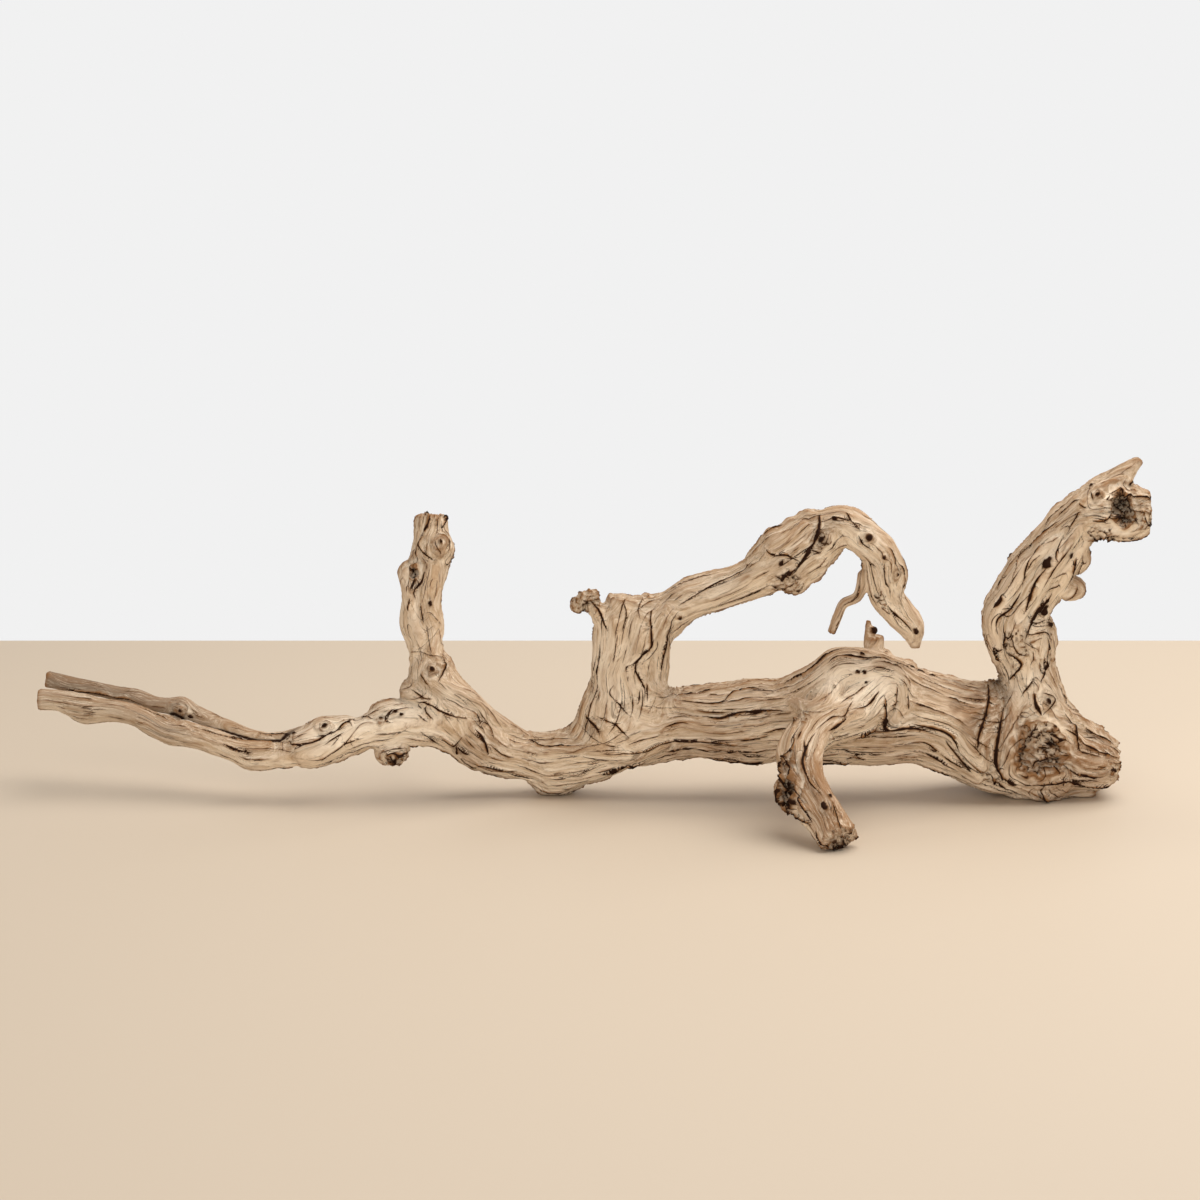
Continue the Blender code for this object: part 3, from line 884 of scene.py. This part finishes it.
# ---- Cracks ----
THREAD_STEP = 0.5  # between the points of a crack's line, mm
LONGEST_JUMP = 3.0  # between two such points, before the line is broken off, mm
CRACK_REACH = 6.0  # how far from its line a crack still shows, mm
OPENING, OPENING_POWER = 0.4, 1.3  # how far the named cracks gape for their listed width
SMOOTHING_PASSES = 3  # of a crack's line
TAPER, TAPER_POWER = 0.3, 0.6  # over what share of its length a crack thins out, and how roundly
THINNEST = 0.02  # what its width is held above, before that power
WIDTH_CHANGE, WIDTH_CELL = 0.5, 5  # of a crack's width: its share, and over how many mm
EDGE_WOBBLE, EDGE_CELL = 0.16, 1.7  # of its edges, mm


class Threads:
    """Lines on the skin that stand for cracks, with a half width at each of their points."""

    def __init__(self):
        self.places = []
        self.ahead = []
        self.widths = []

    def add(self, line, half_width):
        line = np.asarray(line, dtype=float)
        for _ in range(SMOOTHING_PASSES):
            line[1:-1] = (line[:-2] + 2 * line[1:-1] + line[2:]) / 4
        ahead = unit(np.gradient(line, axis=0))
        share = np.linspace(0, 1, len(line))
        taper = np.clip(np.minimum(share, 1 - share) / TAPER, THINNEST, 1) ** TAPER_POWER
        self.places.append(line)
        self.ahead.append(ahead)
        self.widths.append(half_width * taper * (1 + WIDTH_CHANGE * noise(line / WIDTH_CELL, 32)))

    def add_named(self, places):
        for half_width, *knots in CRACKS:
            path = smooth_line(knots, THREAD_STEP)
            line = np.array([places.front(x, z) for x, z in path])
            jumps = np.linalg.norm(np.diff(line, axis=0), axis=1) > LONGEST_JUMP
            for run in np.split(line, np.flatnonzero(jumps) + 1):
                if len(run) > 3:
                    self.add(run, OPENING * half_width**OPENING_POWER)

    def measure(self, skin):
        """For each skin point, the distance to the nearest line, and the half width there."""
        places = np.vstack(self.places)
        ahead = np.vstack(self.ahead)
        widths = np.concatenate(self.widths)
        find = tree_of(places).find
        pick = np.array([find(point)[1] for point in skin.points.tolist()])
        away = skin.points - places[pick]
        ahead = ahead[pick]
        gap = (away * unit(np.cross(skin.normals, ahead))).sum(axis=1)
        near = (away**2).sum(axis=1) < CRACK_REACH**2
        width = np.where(near & (np.abs((away * ahead).sum(axis=1)) < 1.0), widths[pick], 0.0)
        gap += EDGE_WOBBLE * noise(skin.points / EDGE_CELL, 33)
        return gap, np.clip(width, 0, None)


FAR_SIDE_GAPE = 1.2  # how much wider the cracks are on the far side, which has no named ones


class Taken:
    """Cells of space that already hold a crack."""

    def __init__(self, size):
        self.size = size
        self.cells = set()

    def cell(self, place):
        return tuple(int(c // self.size) for c in place)

    def mark(self, line):
        self.cells.update(self.cell(place) for place in line)


def trace(places, normals, flow, start, length, taken):
    """A line from a point both ways along the grain, up to the next crack."""
    points = places.skin.points
    halves = []
    for sense in (-1, 1):
        place = Vector(points[start])
        ahead = sense * Vector(flow[start])
        half = []
        for _ in range(int(length / 2 / THREAD_STEP)):
            place = place + ahead * THREAD_STEP
            near = places.nearest(place)
            normal = Vector(normals[near])
            place = place - normal * (place - Vector(points[near])).dot(normal)
            turn = Vector(flow[near])
            if turn.dot(ahead) < 0:
                turn.negate()
            ahead = (ahead + 0.5 * turn).normalized()
            if taken.cell(place) in taken.cells:
                break
            half.append(tuple(place))
        halves.append(half)
    return halves[0][::-1] + [tuple(points[start])] + halves[1]


# Cracks all over: how many are tried, how far apart they stay, their lengths and half widths in mm.
WIDE_CRACKS = {
    "count": 3000, "spacing": 10.0, "lengths": (24, 90), "half_widths": (0.05, 0.22), "seed": 1,
}
FINE_CRACKS = {
    "count": 9000, "spacing": 3.0, "lengths": (12, 44), "half_widths": (0.04, 0.11), "seed": 2,
}


def open_cracks(places, flow, threads, count, spacing, lengths, half_widths, seed):
    """Cracks all over the branch, where the named ones have left room."""
    random = np.random.default_rng(seed)
    skin = places.skin
    taken = Taken(spacing)
    for line in threads.places:
        taken.mark(line)
    busy = noise(skin.points / 26, 40 + seed)
    for start in random.integers(0, len(skin.points), count):
        length = random.uniform(*lengths)
        half_width = random.uniform(*half_widths)
        half_width *= 1 + FAR_SIDE_GAPE * step(skin.normals[start, 1], 0.1, 0.5)
        if taken.cell(skin.points[start]) in taken.cells or busy[start] < random.uniform(-0.9, 0.3):
            continue
        line = trace(places, skin.normals, flow, start, length, taken)
        if len(line) * THREAD_STEP > lengths[0] / 2:
            threads.add(line, half_width)
        taken.mark(line)


# ---- Detail ----
def hollow_distance(places, hollow):
    """Distance to a hollow's wall: an ellipsoid with an uneven surface, tilted about Y."""
    x, y, z, along_x, along_y, along_z, tilt = hollow
    turn = math.radians(tilt)
    away = places - np.array((x, y, z))
    across = away[:, 0] * math.cos(turn) - away[:, 2] * math.sin(turn)
    up = away[:, 0] * math.sin(turn) + away[:, 2] * math.cos(turn)
    size = np.sqrt((across / along_x) ** 2 + (away[:, 1] / along_y) ** 2 + (up / along_z) ** 2)
    return (size - 1) * min(along_x, along_y, along_z) + 1.2 * noise(places / 4.5, 15)


class Marks:
    """Values of the skin's details at each point: how far they stand out, and how dark painted shade
    makes them.
    """

    def __init__(self, skin):
        count = len(skin.points)
        self.height = np.zeros(count)
        self.dark = np.zeros(count)
        self.brown = np.zeros(count)
        self.tone = np.zeros(count)

    # Painted shade: darkens holes, knot rims, crevices and the crease between the prongs.
    def shade(self, near, dark):
        self.dark[near] = np.maximum(self.dark[near], dark)

    # Browns the wood: stains of knots, pits, rough wood and hollows, and patches of painted shade.
    def stain_and_shade(self, near, brown):
        self.brown[near] = np.maximum(self.brown[near], brown)

    def knot(self, near, away, ahead, size, pit):
        along = away @ ahead
        far = np.sqrt((away**2).sum(axis=1) - 0.5 * along**2)
        far = far * (1 + 0.4 * noise(away / (1.3 * size), 51))
        rim = np.exp(-(((far - 1.1 * size) / (0.35 * size)) ** 2))
        inside = step(far, size, 0.7 * size)
        rings = 0.5 + 0.5 * np.cos(far * 2 * math.pi / max(0.33 * size, 1.3))
        hole = step(far, 1.3 * pit, 0.5 * pit)
        self.height[near] += 0.6 * rim - 0.5 * inside + 0.3 * inside * rings
        self.height[near] -= 1.6 * hole * min(pit, 1.5)
        edge = np.exp(-(((far - 0.9 * size) / 0.5) ** 2))
        broken = (0.5 + noise(away / size, 62)).clip(0, 1)
        self.shade(near, np.maximum(0.45 * edge * broken, 0.9 * hole))
        self.stain_and_shade(near, inside * (0.35 + 0.5 * (1 - rings)))

    def pit(self, near, away, ahead, size):
        along = away @ ahead
        far = np.sqrt((away**2).sum(axis=1) - 0.6 * along**2) * (1 + 0.4 * noise(away / size, 52))
        hole = step(far, 1.35 * size, 0.5 * size)
        rim = np.exp(-(((far - 1.5 * size) / (0.4 * size)) ** 2))
        self.height[near] += 0.15 * rim - hole * min(1.5 * size, 2.6)
        self.shade(near, step(far, 1.15 * size, 0.7 * size))
        self.stain_and_shade(near, 0.6 * step(far, 2.2 * size, size))

    def rough(self, near, points, away, size):
        far = np.sqrt((away**2).sum(axis=1)) + 1.5 * noise(points / 4, 53)
        share = step(far, 1.25 * size, 0.7 * size)
        lumps = noise(points / 3.2, 54) + 0.4 * noise(points / 1.6, 55)
        crevice = step(np.abs(lumps), 0.22, 0.04)
        self.height[near] += share * (0.9 * np.abs(lumps) - 1.1 * crevice)
        self.shade(near, 0.8 * share * crevice * step(noise(points / 5, 60), -0.3, 0.2))
        self.stain_and_shade(near, 0.45 * share)


def mark_side(skin, places, meet, flow, marks, knots, pits, patches):
    """The knots, pits and rough patches of one side."""
    for x, z, size, pit in knots:
        centre = meet(x, z)
        near, away = places.around(centre, 3 * size)
        marks.knot(near, away, flow[places.nearest(centre)], size, pit)
    for x, z, size in pits:
        centre = meet(x, z)
        near, away = places.around(centre, 3 * size + 1)
        marks.pit(near, away, flow[places.nearest(centre)], size)
    for x, z, size in patches:
        near, away = places.around(meet(x, z), 1.6 * size)
        marks.rough(near, skin.points[near], away, size)


def mark_places(skin, places, flow, marks):
    """Knots, pits, rough patches, brown patches that are mostly painted shade, patches of painted
    light and shade, and the walls of the hollows.
    """
    mark_side(skin, places, places.front, flow, marks, KNOTS, PITS, ROUGH_PATCHES)
    mark_side(skin, places, places.back, flow, marks, BACK_KNOTS, BACK_PITS, BACK_PATCHES)
    # Brown patches: mostly painted shade, partly stains.
    for x, z, size in SHADE_AND_STAIN_PATCHES:
        near, away = places.around(places.front(x, z), 2 * size)
        far = np.sqrt((away**2).sum(axis=1)) + 0.45 * size * noise(away / (0.7 * size), 56)
        marks.stain_and_shade(near, 0.9 * step(far, 1.3 * size, 0.5 * size))
    # Painted light on upper faces and painted shade low down, partly the wood's own tone.
    for x, z, size, tone in LIGHT_AND_TONE_PATCHES:
        near, away = places.around(places.front(x, z), 2 * size)
        far = np.sqrt((away**2).sum(axis=1)) + 0.3 * size * noise(away / (0.6 * size), 61)
        marks.tone[near] += tone * step(far, 1.6 * size, 0.4 * size)
    for hollow in (*HOLLOWS.values(), *SMALL_HOLLOWS.values()):
        near, _ = places.around(np.array(hollow[:3]), 2 * max(hollow[3:6]))
        wall = hollow_distance(skin.points[near], hollow)
        inside = step(wall, 1.4, 0.2)
        lumps = noise(skin.points[near] / 5, 57) + 0.45 * noise(skin.points[near] / 2.2, 58)
        crevice = np.maximum(step(np.abs(lumps), 0.13, 0.02), step(np.abs(wall - 1.0), 0.5, 0.1))
        marks.height[near] += inside * (1.8 * lumps - 1.6 * crevice)
        marks.height[near] += 1.4 * np.exp(-(((wall - 2.6) / 1.1) ** 2))
        marks.shade(near, 0.9 * inside * crevice)
        marks.stain_and_shade(near, 0.5 * inside)


# Ridges and furrows: cells in mm along the grain and both ways across it, and the noise's seed.
WIDE_RIDGES = ((75, 10, 10), 1)
RIDGES = ((52, 5, 5), 2)
FINE_RIDGES = ((34, 2.6, 2.6), 5)
FIBRES = ((15, 1.5, 1.5), 6)
LUMPS = (15, 7)
FLUTED_GIRTH = 12  # mm; thinner limbs are fluted less
LEAST_FLUTED, MOST_FLUTED = 0.3, 1.15


def flute(skin, grain, girth, marks):
    """Ridges and furrows along the grain, deeper on thick limbs."""
    depth = np.clip(girth / FLUTED_GIRTH, LEAST_FLUTED, MOST_FLUTED)
    rows = (WIDE_RIDGES, RIDGES, FINE_RIDGES, FIBRES)
    wide, ridge, fine, fibre = (noise(grain / cells, seed) for cells, seed in rows)
    lumps = noise(skin.points / LUMPS[0], LUMPS[1])
    marks.height += depth * (0.9 * wide + 0.7 * lumps + 2.0 * (np.abs(ridge) ** 0.6 - 0.5))
    marks.height += depth * (0.9 * (np.abs(fine) ** 0.7 - 0.4) + 0.2 * fibre)


GROOVE_SLOPE = 0.55  # how far a groove's side slopes beyond the crack, mm
GULLY = 1.9  # half the width of the broad furrow along a crack, mm
SHOULDER, SHOULDER_WIDTH = 3.2, 1.6  # where the raised lips lie and how broad they are, mm
FAULT, FAULT_EDGE = 3.5, 0.35  # how far from a crack one side stands higher, and how softly, mm
FAULT_CELL = 40  # mm, over which the higher side changes


def cut_cracks(skin, girth, marks, wide_cracks, fine_cracks):
    """Cuts the cracks as grooves with slightly raised lips. Gives each point's crack."""
    gap, width = wide_cracks.measure(skin)
    other_gap, other_width = fine_cracks.measure(skin)
    better = other_width - np.abs(other_gap) > width - np.abs(gap)
    gap = np.where(better, other_gap, gap)
    width = np.where(better, other_width, width)
    width = width * np.clip(girth / 9, 0.55, 1)
    far = np.abs(gap)
    groove = np.clip(1 - far / (width + GROOVE_SLOPE), 0, 1) * np.clip(width / 0.2, 0, 1)
    marks.height -= groove * np.minimum(0.6 + 2.4 * width, 0.3 * girth + 0.3)
    strength = step(width, 0.1, 0.55) * np.clip(girth / 11, 0.3, 1)
    gully = np.exp(-((far / GULLY) ** 2))
    shoulder = np.exp(-(((far - SHOULDER) / SHOULDER_WIDTH) ** 2))
    side = np.sign(noise(skin.points / FAULT_CELL, 59))
    fault = np.tanh(gap / FAULT_EDGE) * np.exp(-((far / FAULT) ** 2)) * side
    marks.height += strength * (0.55 * shoulder - 1.0 * gully + 0.55 * fault)
    return gap, width


def ease_into(points, low, high):
    """Keeps points inside a box, easing off near its sides."""
    for sense, limit in ((-1, low), (1, high)):
        over = sense * points - (sense * limit - SOFT_LIMIT)
        eased = sense * limit - SOFT_LIMIT * np.exp(-np.maximum(over, 0) / SOFT_LIMIT)
        points = np.where(over > 0, sense * eased, points)
    return points


def make_mesh(name, skin, values):
    mesh = bpy.data.meshes.new(name)
    count, faces = len(skin.points), len(skin.quads)
    mesh.vertices.add(count)
    points = (skin.points + LAYOUT_TO_ORIGIN) * MM
    mesh.vertices.foreach_set("co", points.astype(np.float32).ravel())
    mesh.loops.add(4 * faces)
    mesh.loops.foreach_set("vertex_index", skin.quads.astype(np.int32).ravel())
    mesh.polygons.add(faces)
    mesh.polygons.foreach_set("loop_start", np.arange(0, 4 * faces, 4, dtype=np.int32))
    mesh.update(calc_edges=True)
    mesh.shade_smooth()
    for label, data in values.items():
        kind, field = ("FLOAT_VECTOR", "vector") if data.ndim > 1 else ("FLOAT", "value")
        attribute = mesh.attributes.new(label, kind, "POINT")
        attribute.data.foreach_set(field, data.astype(np.float32).ravel())
    obj = bpy.data.objects.new(name, mesh)
    bpy.context.scene.collection.objects.link(obj)
    return obj


# ---- Material ----
class Nodes:
    """Builds a node tree from short calls."""

    def __init__(self, name):
        self.material = bpy.data.materials.new(name)
        self.material.use_nodes = True
        self.tree = self.material.node_tree
        self.shader = self.tree.nodes["Principled BSDF"]

    def add(self, kind, inputs=(), output=0, **settings):
        node = self.tree.nodes.new("ShaderNode" + kind)
        for key, value in settings.items():
            setattr(node, key, value)
        for key, value in dict(inputs).items():
            self.feed(node.inputs[key], value)
        return node.outputs[output]

    def feed(self, socket, value):
        if isinstance(value, bpy.types.NodeSocket):
            self.tree.links.new(value, socket)
        else:
            socket.default_value = value

    def attribute(self, name, output="Fac"):
        return self.add("Attribute", attribute_name=name, output=output)

    def math(self, operation, a, b=0.0):
        return self.add("Math", {0: a, 1: b}, operation=operation)

    def grain_noise(self, grain, along, across, detail, rough):
        """Noise on cells that are stretched along the grain."""
        size = (along, across, across)
        vector = self.add("VectorMath", {0: grain, 1: size}, operation="MULTIPLY")
        inputs = {"Vector": vector, "Scale": 1.0, "Detail": detail, "Roughness": rough}
        return self.add("TexNoise", inputs)

    def between(self, value, low, high, to_low=0.0, to_high=1.0):
        return self.add(
            "MapRange",
            {"Value": value, "From Min": low, "From Max": high, "To Min": to_low, "To Max": to_high},
            interpolation_type="SMOOTHSTEP",
        )

    def mix(self, share, a, b):
        return self.add("Mix", {"Factor": share, 6: a, 7: b}, output=2, data_type="RGBA")

    def layer(self, colour, sources, layers):
        for source, low, high, share_low, share_high, over in layers:
            share = self.between(sources[source], low, high, share_low, share_high)
            colour = self.mix(share, colour, over)
        return colour


# Pale cream: the wood's own streaks and fibres, and painted light on upper faces, ridges, bulges and
# lit patches.
CREAM = (0.96, 0.81, 0.62, 1)
PALE = (0.84, 0.66, 0.46, 1)
TAN = (0.64, 0.455, 0.28, 1)
# Dark umber: the wood's own streaks and fibres, and painted shade beneath, in furrows, hollows, along
# cracks and in low patches.
UMBER = (0.26, 0.115, 0.038, 1)
STAIN_AND_SHADE = (0.20, 0.115, 0.06, 1)
ASH = (0.22, 0.165, 0.115, 1)
# Near black: painted shade in cracks, holes, crevices and the crease between the prongs, and the
# wood's own dark hairlines and flecks.
CRACK_DARK = (0.022, 0.006, 0.001, 1)


# Noises of the wood: cells a mm along the grain and across it, detail, roughness.
GRAIN_NOISES = {
    "bands": (0.012, 0.16, 3.0, 0.55),
    "streaks": (0.018, 0.6, 4.0, 0.62),
    "fibres": (0.035, 1.3, 5.0, 0.75),
    "hairs": (0.02, 1.0, 2.0, 0.5),
    "flecks": (0.35, 1.6, 3.0, 0.6),
}

# Layers of colour: what drives each, from and to which of its values, the layer's share at those two
# values, and its colour. Facing light says how far the skin faces up, for painted light on top and
# painted shade beneath; concave shading says how far it stands back, for painted shade in hollows
# and a painted highlight on bulges.
GROUND = [
    ("bands", 0.35, 0.65, 0.0, 1.0, PALE),
    ("streaks", 0.42, 0.68, 0.0, 0.65, CREAM),
    ("streaks", 0.28, 0.46, 0.3, 0.0, UMBER),
    # Painted shade on faces that turn down, painted light on faces that turn up; the light also
    # stands for sun-bleaching.
    ("facing_light", -0.8, 0.4, 0.5, 0.0, UMBER),
    ("facing_light", 0.0, 0.9, 0.0, 0.55, CREAM),
    # Patches of painted light on upper faces and painted shade low down, partly the wood's own tone.
    ("tone", 0.0, 1.0, 0.0, 0.75, CREAM),
    ("tone", -1.0, 0.0, 0.6, 0.0, UMBER),
]
ASHEN_SHARE = 0.8
WEATHER = [
    ("fibres", 0.30, 0.50, 0.5, 0.0, UMBER),
    ("fibres", 0.50, 0.66, 0.0, 0.5, CREAM),
    # Painted shade in the furrows and a painted highlight on the ridges of the fine relief.
    ("relief_shading", -1.3, -0.1, 0.8, 0.0, UMBER),
    ("relief_shading", 0.1, 0.8, 0.0, 0.4, CREAM),
    # Painted shade in hollows and folds, and a painted highlight on bulges and edges.
    ("concave_shading", 0.0, 1.1, 0.0, 0.9, UMBER),
    ("concave_shading", -1.0, -0.1, 0.55, 0.0, CREAM),
    # Brown from stains, knots and rough wood, and from patches of painted shade.
    ("stained_and_shaded", 0.1, 1.2, 0.0, 0.6, STAIN_AND_SHADE),
    ("hairs", 0.27, 0.36, 0.4, 0.0, CRACK_DARK),
    ("flecks", 0.20, 0.30, 0.6, 0.0, CRACK_DARK),
]
SHEEN = 0.12
BUMP_HEIGHT = 0.0008  # of the finest fibres, m


def wood():
    n = Nodes("driftwood")
    grain = n.attribute("grain", "Vector")
    sources = {name: n.grain_noise(grain, *row) for name, row in GRAIN_NOISES.items()}
    for name in ("facing_light", "tone", "relief_shading", "concave_shading"):
        sources[name] = n.attribute(name)
    fibres = sources["fibres"]
    blotches = n.between(sources["flecks"], 0.3, 0.7, -0.3, 0.3)
    sources["stained_and_shaded"] = n.math("ADD", n.attribute("brown"), blotches)

    colour = n.layer(TAN, sources, GROUND)
    colour = n.mix(n.math("MULTIPLY", n.attribute("ashen"), ASHEN_SHARE), colour, ASH)
    colour = n.layer(colour, sources, WEATHER)

    # Painted shade in the cracks: a brown band down each groove's wall, and near black deep inside.
    width = n.attribute("width")
    beyond = n.math("SUBTRACT", n.math("ABSOLUTE", n.attribute("gap")), width)
    edge = n.math("ADD", beyond, n.between(fibres, 0.3, 0.7, -0.1, 0.1))
    seam_shade = n.math("MULTIPLY", n.between(edge, 0.0, 0.5, 0.6, 0.0), n.between(width, 0.05, 0.4))
    inside = n.math("MULTIPLY", n.between(edge, -0.08, 0.1, 1.0, 0.0), n.between(width, 0.02, 0.07))
    depth = n.math("MULTIPLY", inside, n.between(width, 0.03, 0.2, 0.55, 1.0))
    colour = n.mix(seam_shade, colour, UMBER)
    colour = n.mix(depth, colour, CRACK_DARK)
    # Painted shade in holes, crevices and the crease between the prongs.
    colour = n.mix(n.between(n.attribute("dark"), 0.1, 0.9), colour, CRACK_DARK)

    grooves = n.math("ADD", fibres, n.between(sources["hairs"], 0.27, 0.4, -0.5, 0.0))
    n.feed(n.shader.inputs["Base Color"], colour)
    n.feed(n.shader.inputs["Roughness"], n.between(fibres, 0.3, 0.7, 0.92, 0.7))
    n.feed(n.shader.inputs["Specular IOR Level"], SHEEN)
    bump = n.add("Bump", {"Strength": 1.0, "Distance": BUMP_HEIGHT, "Height": grooves})
    n.feed(n.shader.inputs["Normal"], bump)
    return n.material


def plain(name, colour, roughness):
    n = Nodes(name)
    n.shader.inputs["Base Color"].default_value = colour
    n.shader.inputs["Roughness"].default_value = roughness
    return n.material


# ---- Scene ----
FLOOR_SIDE, FLOOR_FRONT, FLOOR_BACK = 1.6, -2.4, 0.385  # the board's edges, m
FLOOR_COLOUR = (0.535, 0.428, 0.315, 1)
WALL_COLOUR = (0.88, 0.88, 0.88, 1)
CEILING_DIM = 0.35  # of the light from overhead against the walls'
CEILING_START, CEILING_END = 0.3, 0.7  # where the walls start and end dimming: the direction's Z
LAMP_AIM = (0, 0, 0.05)
KEY = ((0.50, 0.15, 1.15), 1.4, 23)  # place, size, power
FILL = ((-0.3, -1.5, 0.75), 1.0, 7)
AIM = (1, 0, 100)  # layout, mm
DISTANCE = 1977  # mm
TILT = 12.2  # below the level, degrees
FOCAL_LENGTH, SENSOR = 120, 36  # mm


def studio():
    """A plain pale floor, soft light, and the camera at the height of someone at a table."""
    bpy.context.scene.view_settings.view_transform = "Standard"
    floor = bpy.data.meshes.new("floor")
    corners = [(-1, FLOOR_FRONT), (1, FLOOR_FRONT), (1, FLOOR_BACK), (-1, FLOOR_BACK)]
    floor.from_pydata([(x * FLOOR_SIDE, y, 0) for x, y in corners], [], [(0, 1, 2, 3)])
    floor.materials.append(plain("pale_board", FLOOR_COLOUR, 0.6))
    floor = bpy.data.objects.new("floor", floor)
    bpy.context.scene.collection.objects.link(floor)

    add_walls()
    add_light("key", *KEY)
    add_light("fill", *FILL)

    camera = bpy.data.cameras.new("camera")
    camera.lens = FOCAL_LENGTH
    camera.sensor_width = SENSOR
    camera = bpy.data.objects.new("camera", camera)
    tilt = math.radians(TILT)
    back = DISTANCE * np.array((0, -math.cos(tilt), math.sin(tilt)))
    camera.location = (np.array(AIM) + back + LAYOUT_TO_ORIGIN) * MM
    camera.rotation_euler = (math.radians(90) - tilt, 0, 0)
    bpy.context.scene.collection.objects.link(camera)
    bpy.context.scene.camera = camera


def add_walls():
    """Pale walls all round, dimmer towards the ceiling, so that the lamps make the shadows."""
    world = bpy.data.worlds.new("studio")
    world.use_nodes = True
    nodes, links = world.node_tree.nodes, world.node_tree.links
    place = nodes.new("ShaderNodeTexCoord")
    split = nodes.new("ShaderNodeSeparateXYZ")
    dim = nodes.new("ShaderNodeMapRange")
    dim.inputs["From Min"].default_value = CEILING_START
    dim.inputs["From Max"].default_value = CEILING_END
    dim.inputs["To Min"].default_value = 1.0
    dim.inputs["To Max"].default_value = CEILING_DIM
    background = nodes["Background"]
    background.inputs["Color"].default_value = WALL_COLOUR
    links.new(place.outputs["Generated"], split.inputs[0])
    links.new(split.outputs["Z"], dim.inputs["Value"])
    links.new(dim.outputs["Result"], background.inputs["Strength"])
    bpy.context.scene.world = world


def add_light(name, place, size, power):
    light = bpy.data.lights.new(name, "AREA")
    light.size = size
    light.energy = power
    obj = bpy.data.objects.new(name, light)
    obj.location = place
    obj.rotation_euler = (Vector(LAMP_AIM) - Vector(place)).to_track_quat("-Z", "Y").to_euler()
    bpy.context.scene.collection.objects.link(obj)


FACING_LIGHT_PASSES, RELIEF_PASSES, CONCAVE_SHADING_PASSES = 12, 24, 30  # of smoothing: the higher, the broader
ASHEN_START, ASHEN_END = 150, 250  # where the prongs turn grey, mm to the left of the layout's middle
ASHEN_LEAST = 0.35  # how grey the lower prong gets against the upper one
PARTING_BLEND = 0.8  # half the width of the change from one to the other, mm
CREASE_START, CREASE_END = 140, 160  # where the painted shadow in the crease between the prongs sets in, likewise
CREASE_WIDE, CREASE_DARK = 1.7, 0.3  # half its width, and half that of its darkest part, mm


def driftwood():
    limbs = make_limbs()
    field = grow(limbs)
    skin = Skin(*field.quads())
    grain, axes, girth, parting = straighten(skin, limbs)
    places = Places(skin)
    flow = wander(skin, grain, axes)
    for meet, knots in ((places.front, KNOTS), (places.back, BACK_KNOTS)):
        for x, z, size, _ in knots:
            part_round_knot(skin, places, grain, axes, flow, meet(x, z), size)

    wide_cracks, fine_cracks = Threads(), Threads()
    wide_cracks.add_named(places)
    open_cracks(places, flow, wide_cracks, **WIDE_CRACKS)
    open_cracks(places, flow, fine_cracks, **FINE_CRACKS)

    marks = Marks(skin)
    flute(skin, grain, girth, marks)
    mark_places(skin, places, flow, marks)
    gap, width = cut_cracks(skin, girth, marks, wide_cracks, fine_cracks)

    leftwards = -skin.points[:, 0]
    # How far the smoothed skin faces up, for painted light on top and painted shade beneath.
    facing_light = skin.smooth(skin.normals[:, 2], FACING_LIGHT_PASSES)
    upper = ASHEN_LEAST + (1 - ASHEN_LEAST) * step(parting, PARTING_BLEND, -PARTING_BLEND)
    ashen = step(leftwards, ASHEN_START, ASHEN_END) * upper
    # Painted shadow in the crease under the upper prong, where it parts from the lower one.
    crease_shadow = step(np.abs(parting), CREASE_WIDE, CREASE_DARK)
    marks.shade(slice(None), crease_shadow * step(leftwards, CREASE_START, CREASE_END))
    # The fine relief, for painted shade in furrows and a painted highlight on ridges.
    relief_shading = marks.height - skin.smooth(marks.height, RELIEF_PASSES)
    low, high = (np.array(corner) / MM - LAYOUT_TO_ORIGIN for corner in CAD_BOX)
    skin.points = ease_into(skin.points + skin.normals * marks.height[:, None], low, high)
    skin.points[:, 2] = np.maximum(skin.points[:, 2], 0)
    skin.update_normals()
    # How far the skin stands back from its smoothed self, for painted shade in hollows and a painted
    # highlight on bulges.
    broad = skin.smooth(skin.points, CONCAVE_SHADING_PASSES)
    concave_shading = ((broad - skin.points) * skin.normals).sum(axis=1)
    values = {
        "grain": grain, "gap": gap, "width": width, "relief_shading": relief_shading, "facing_light": facing_light,
        "ashen": ashen, "concave_shading": concave_shading, "dark": marks.dark, "brown": marks.brown, "tone": marks.tone,
    }
    branch = make_mesh("weathered_branch", skin, values)
    branch.data.materials.append(wood())
    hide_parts("driftwood")
    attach(branch, "root")


driftwood()
studio()
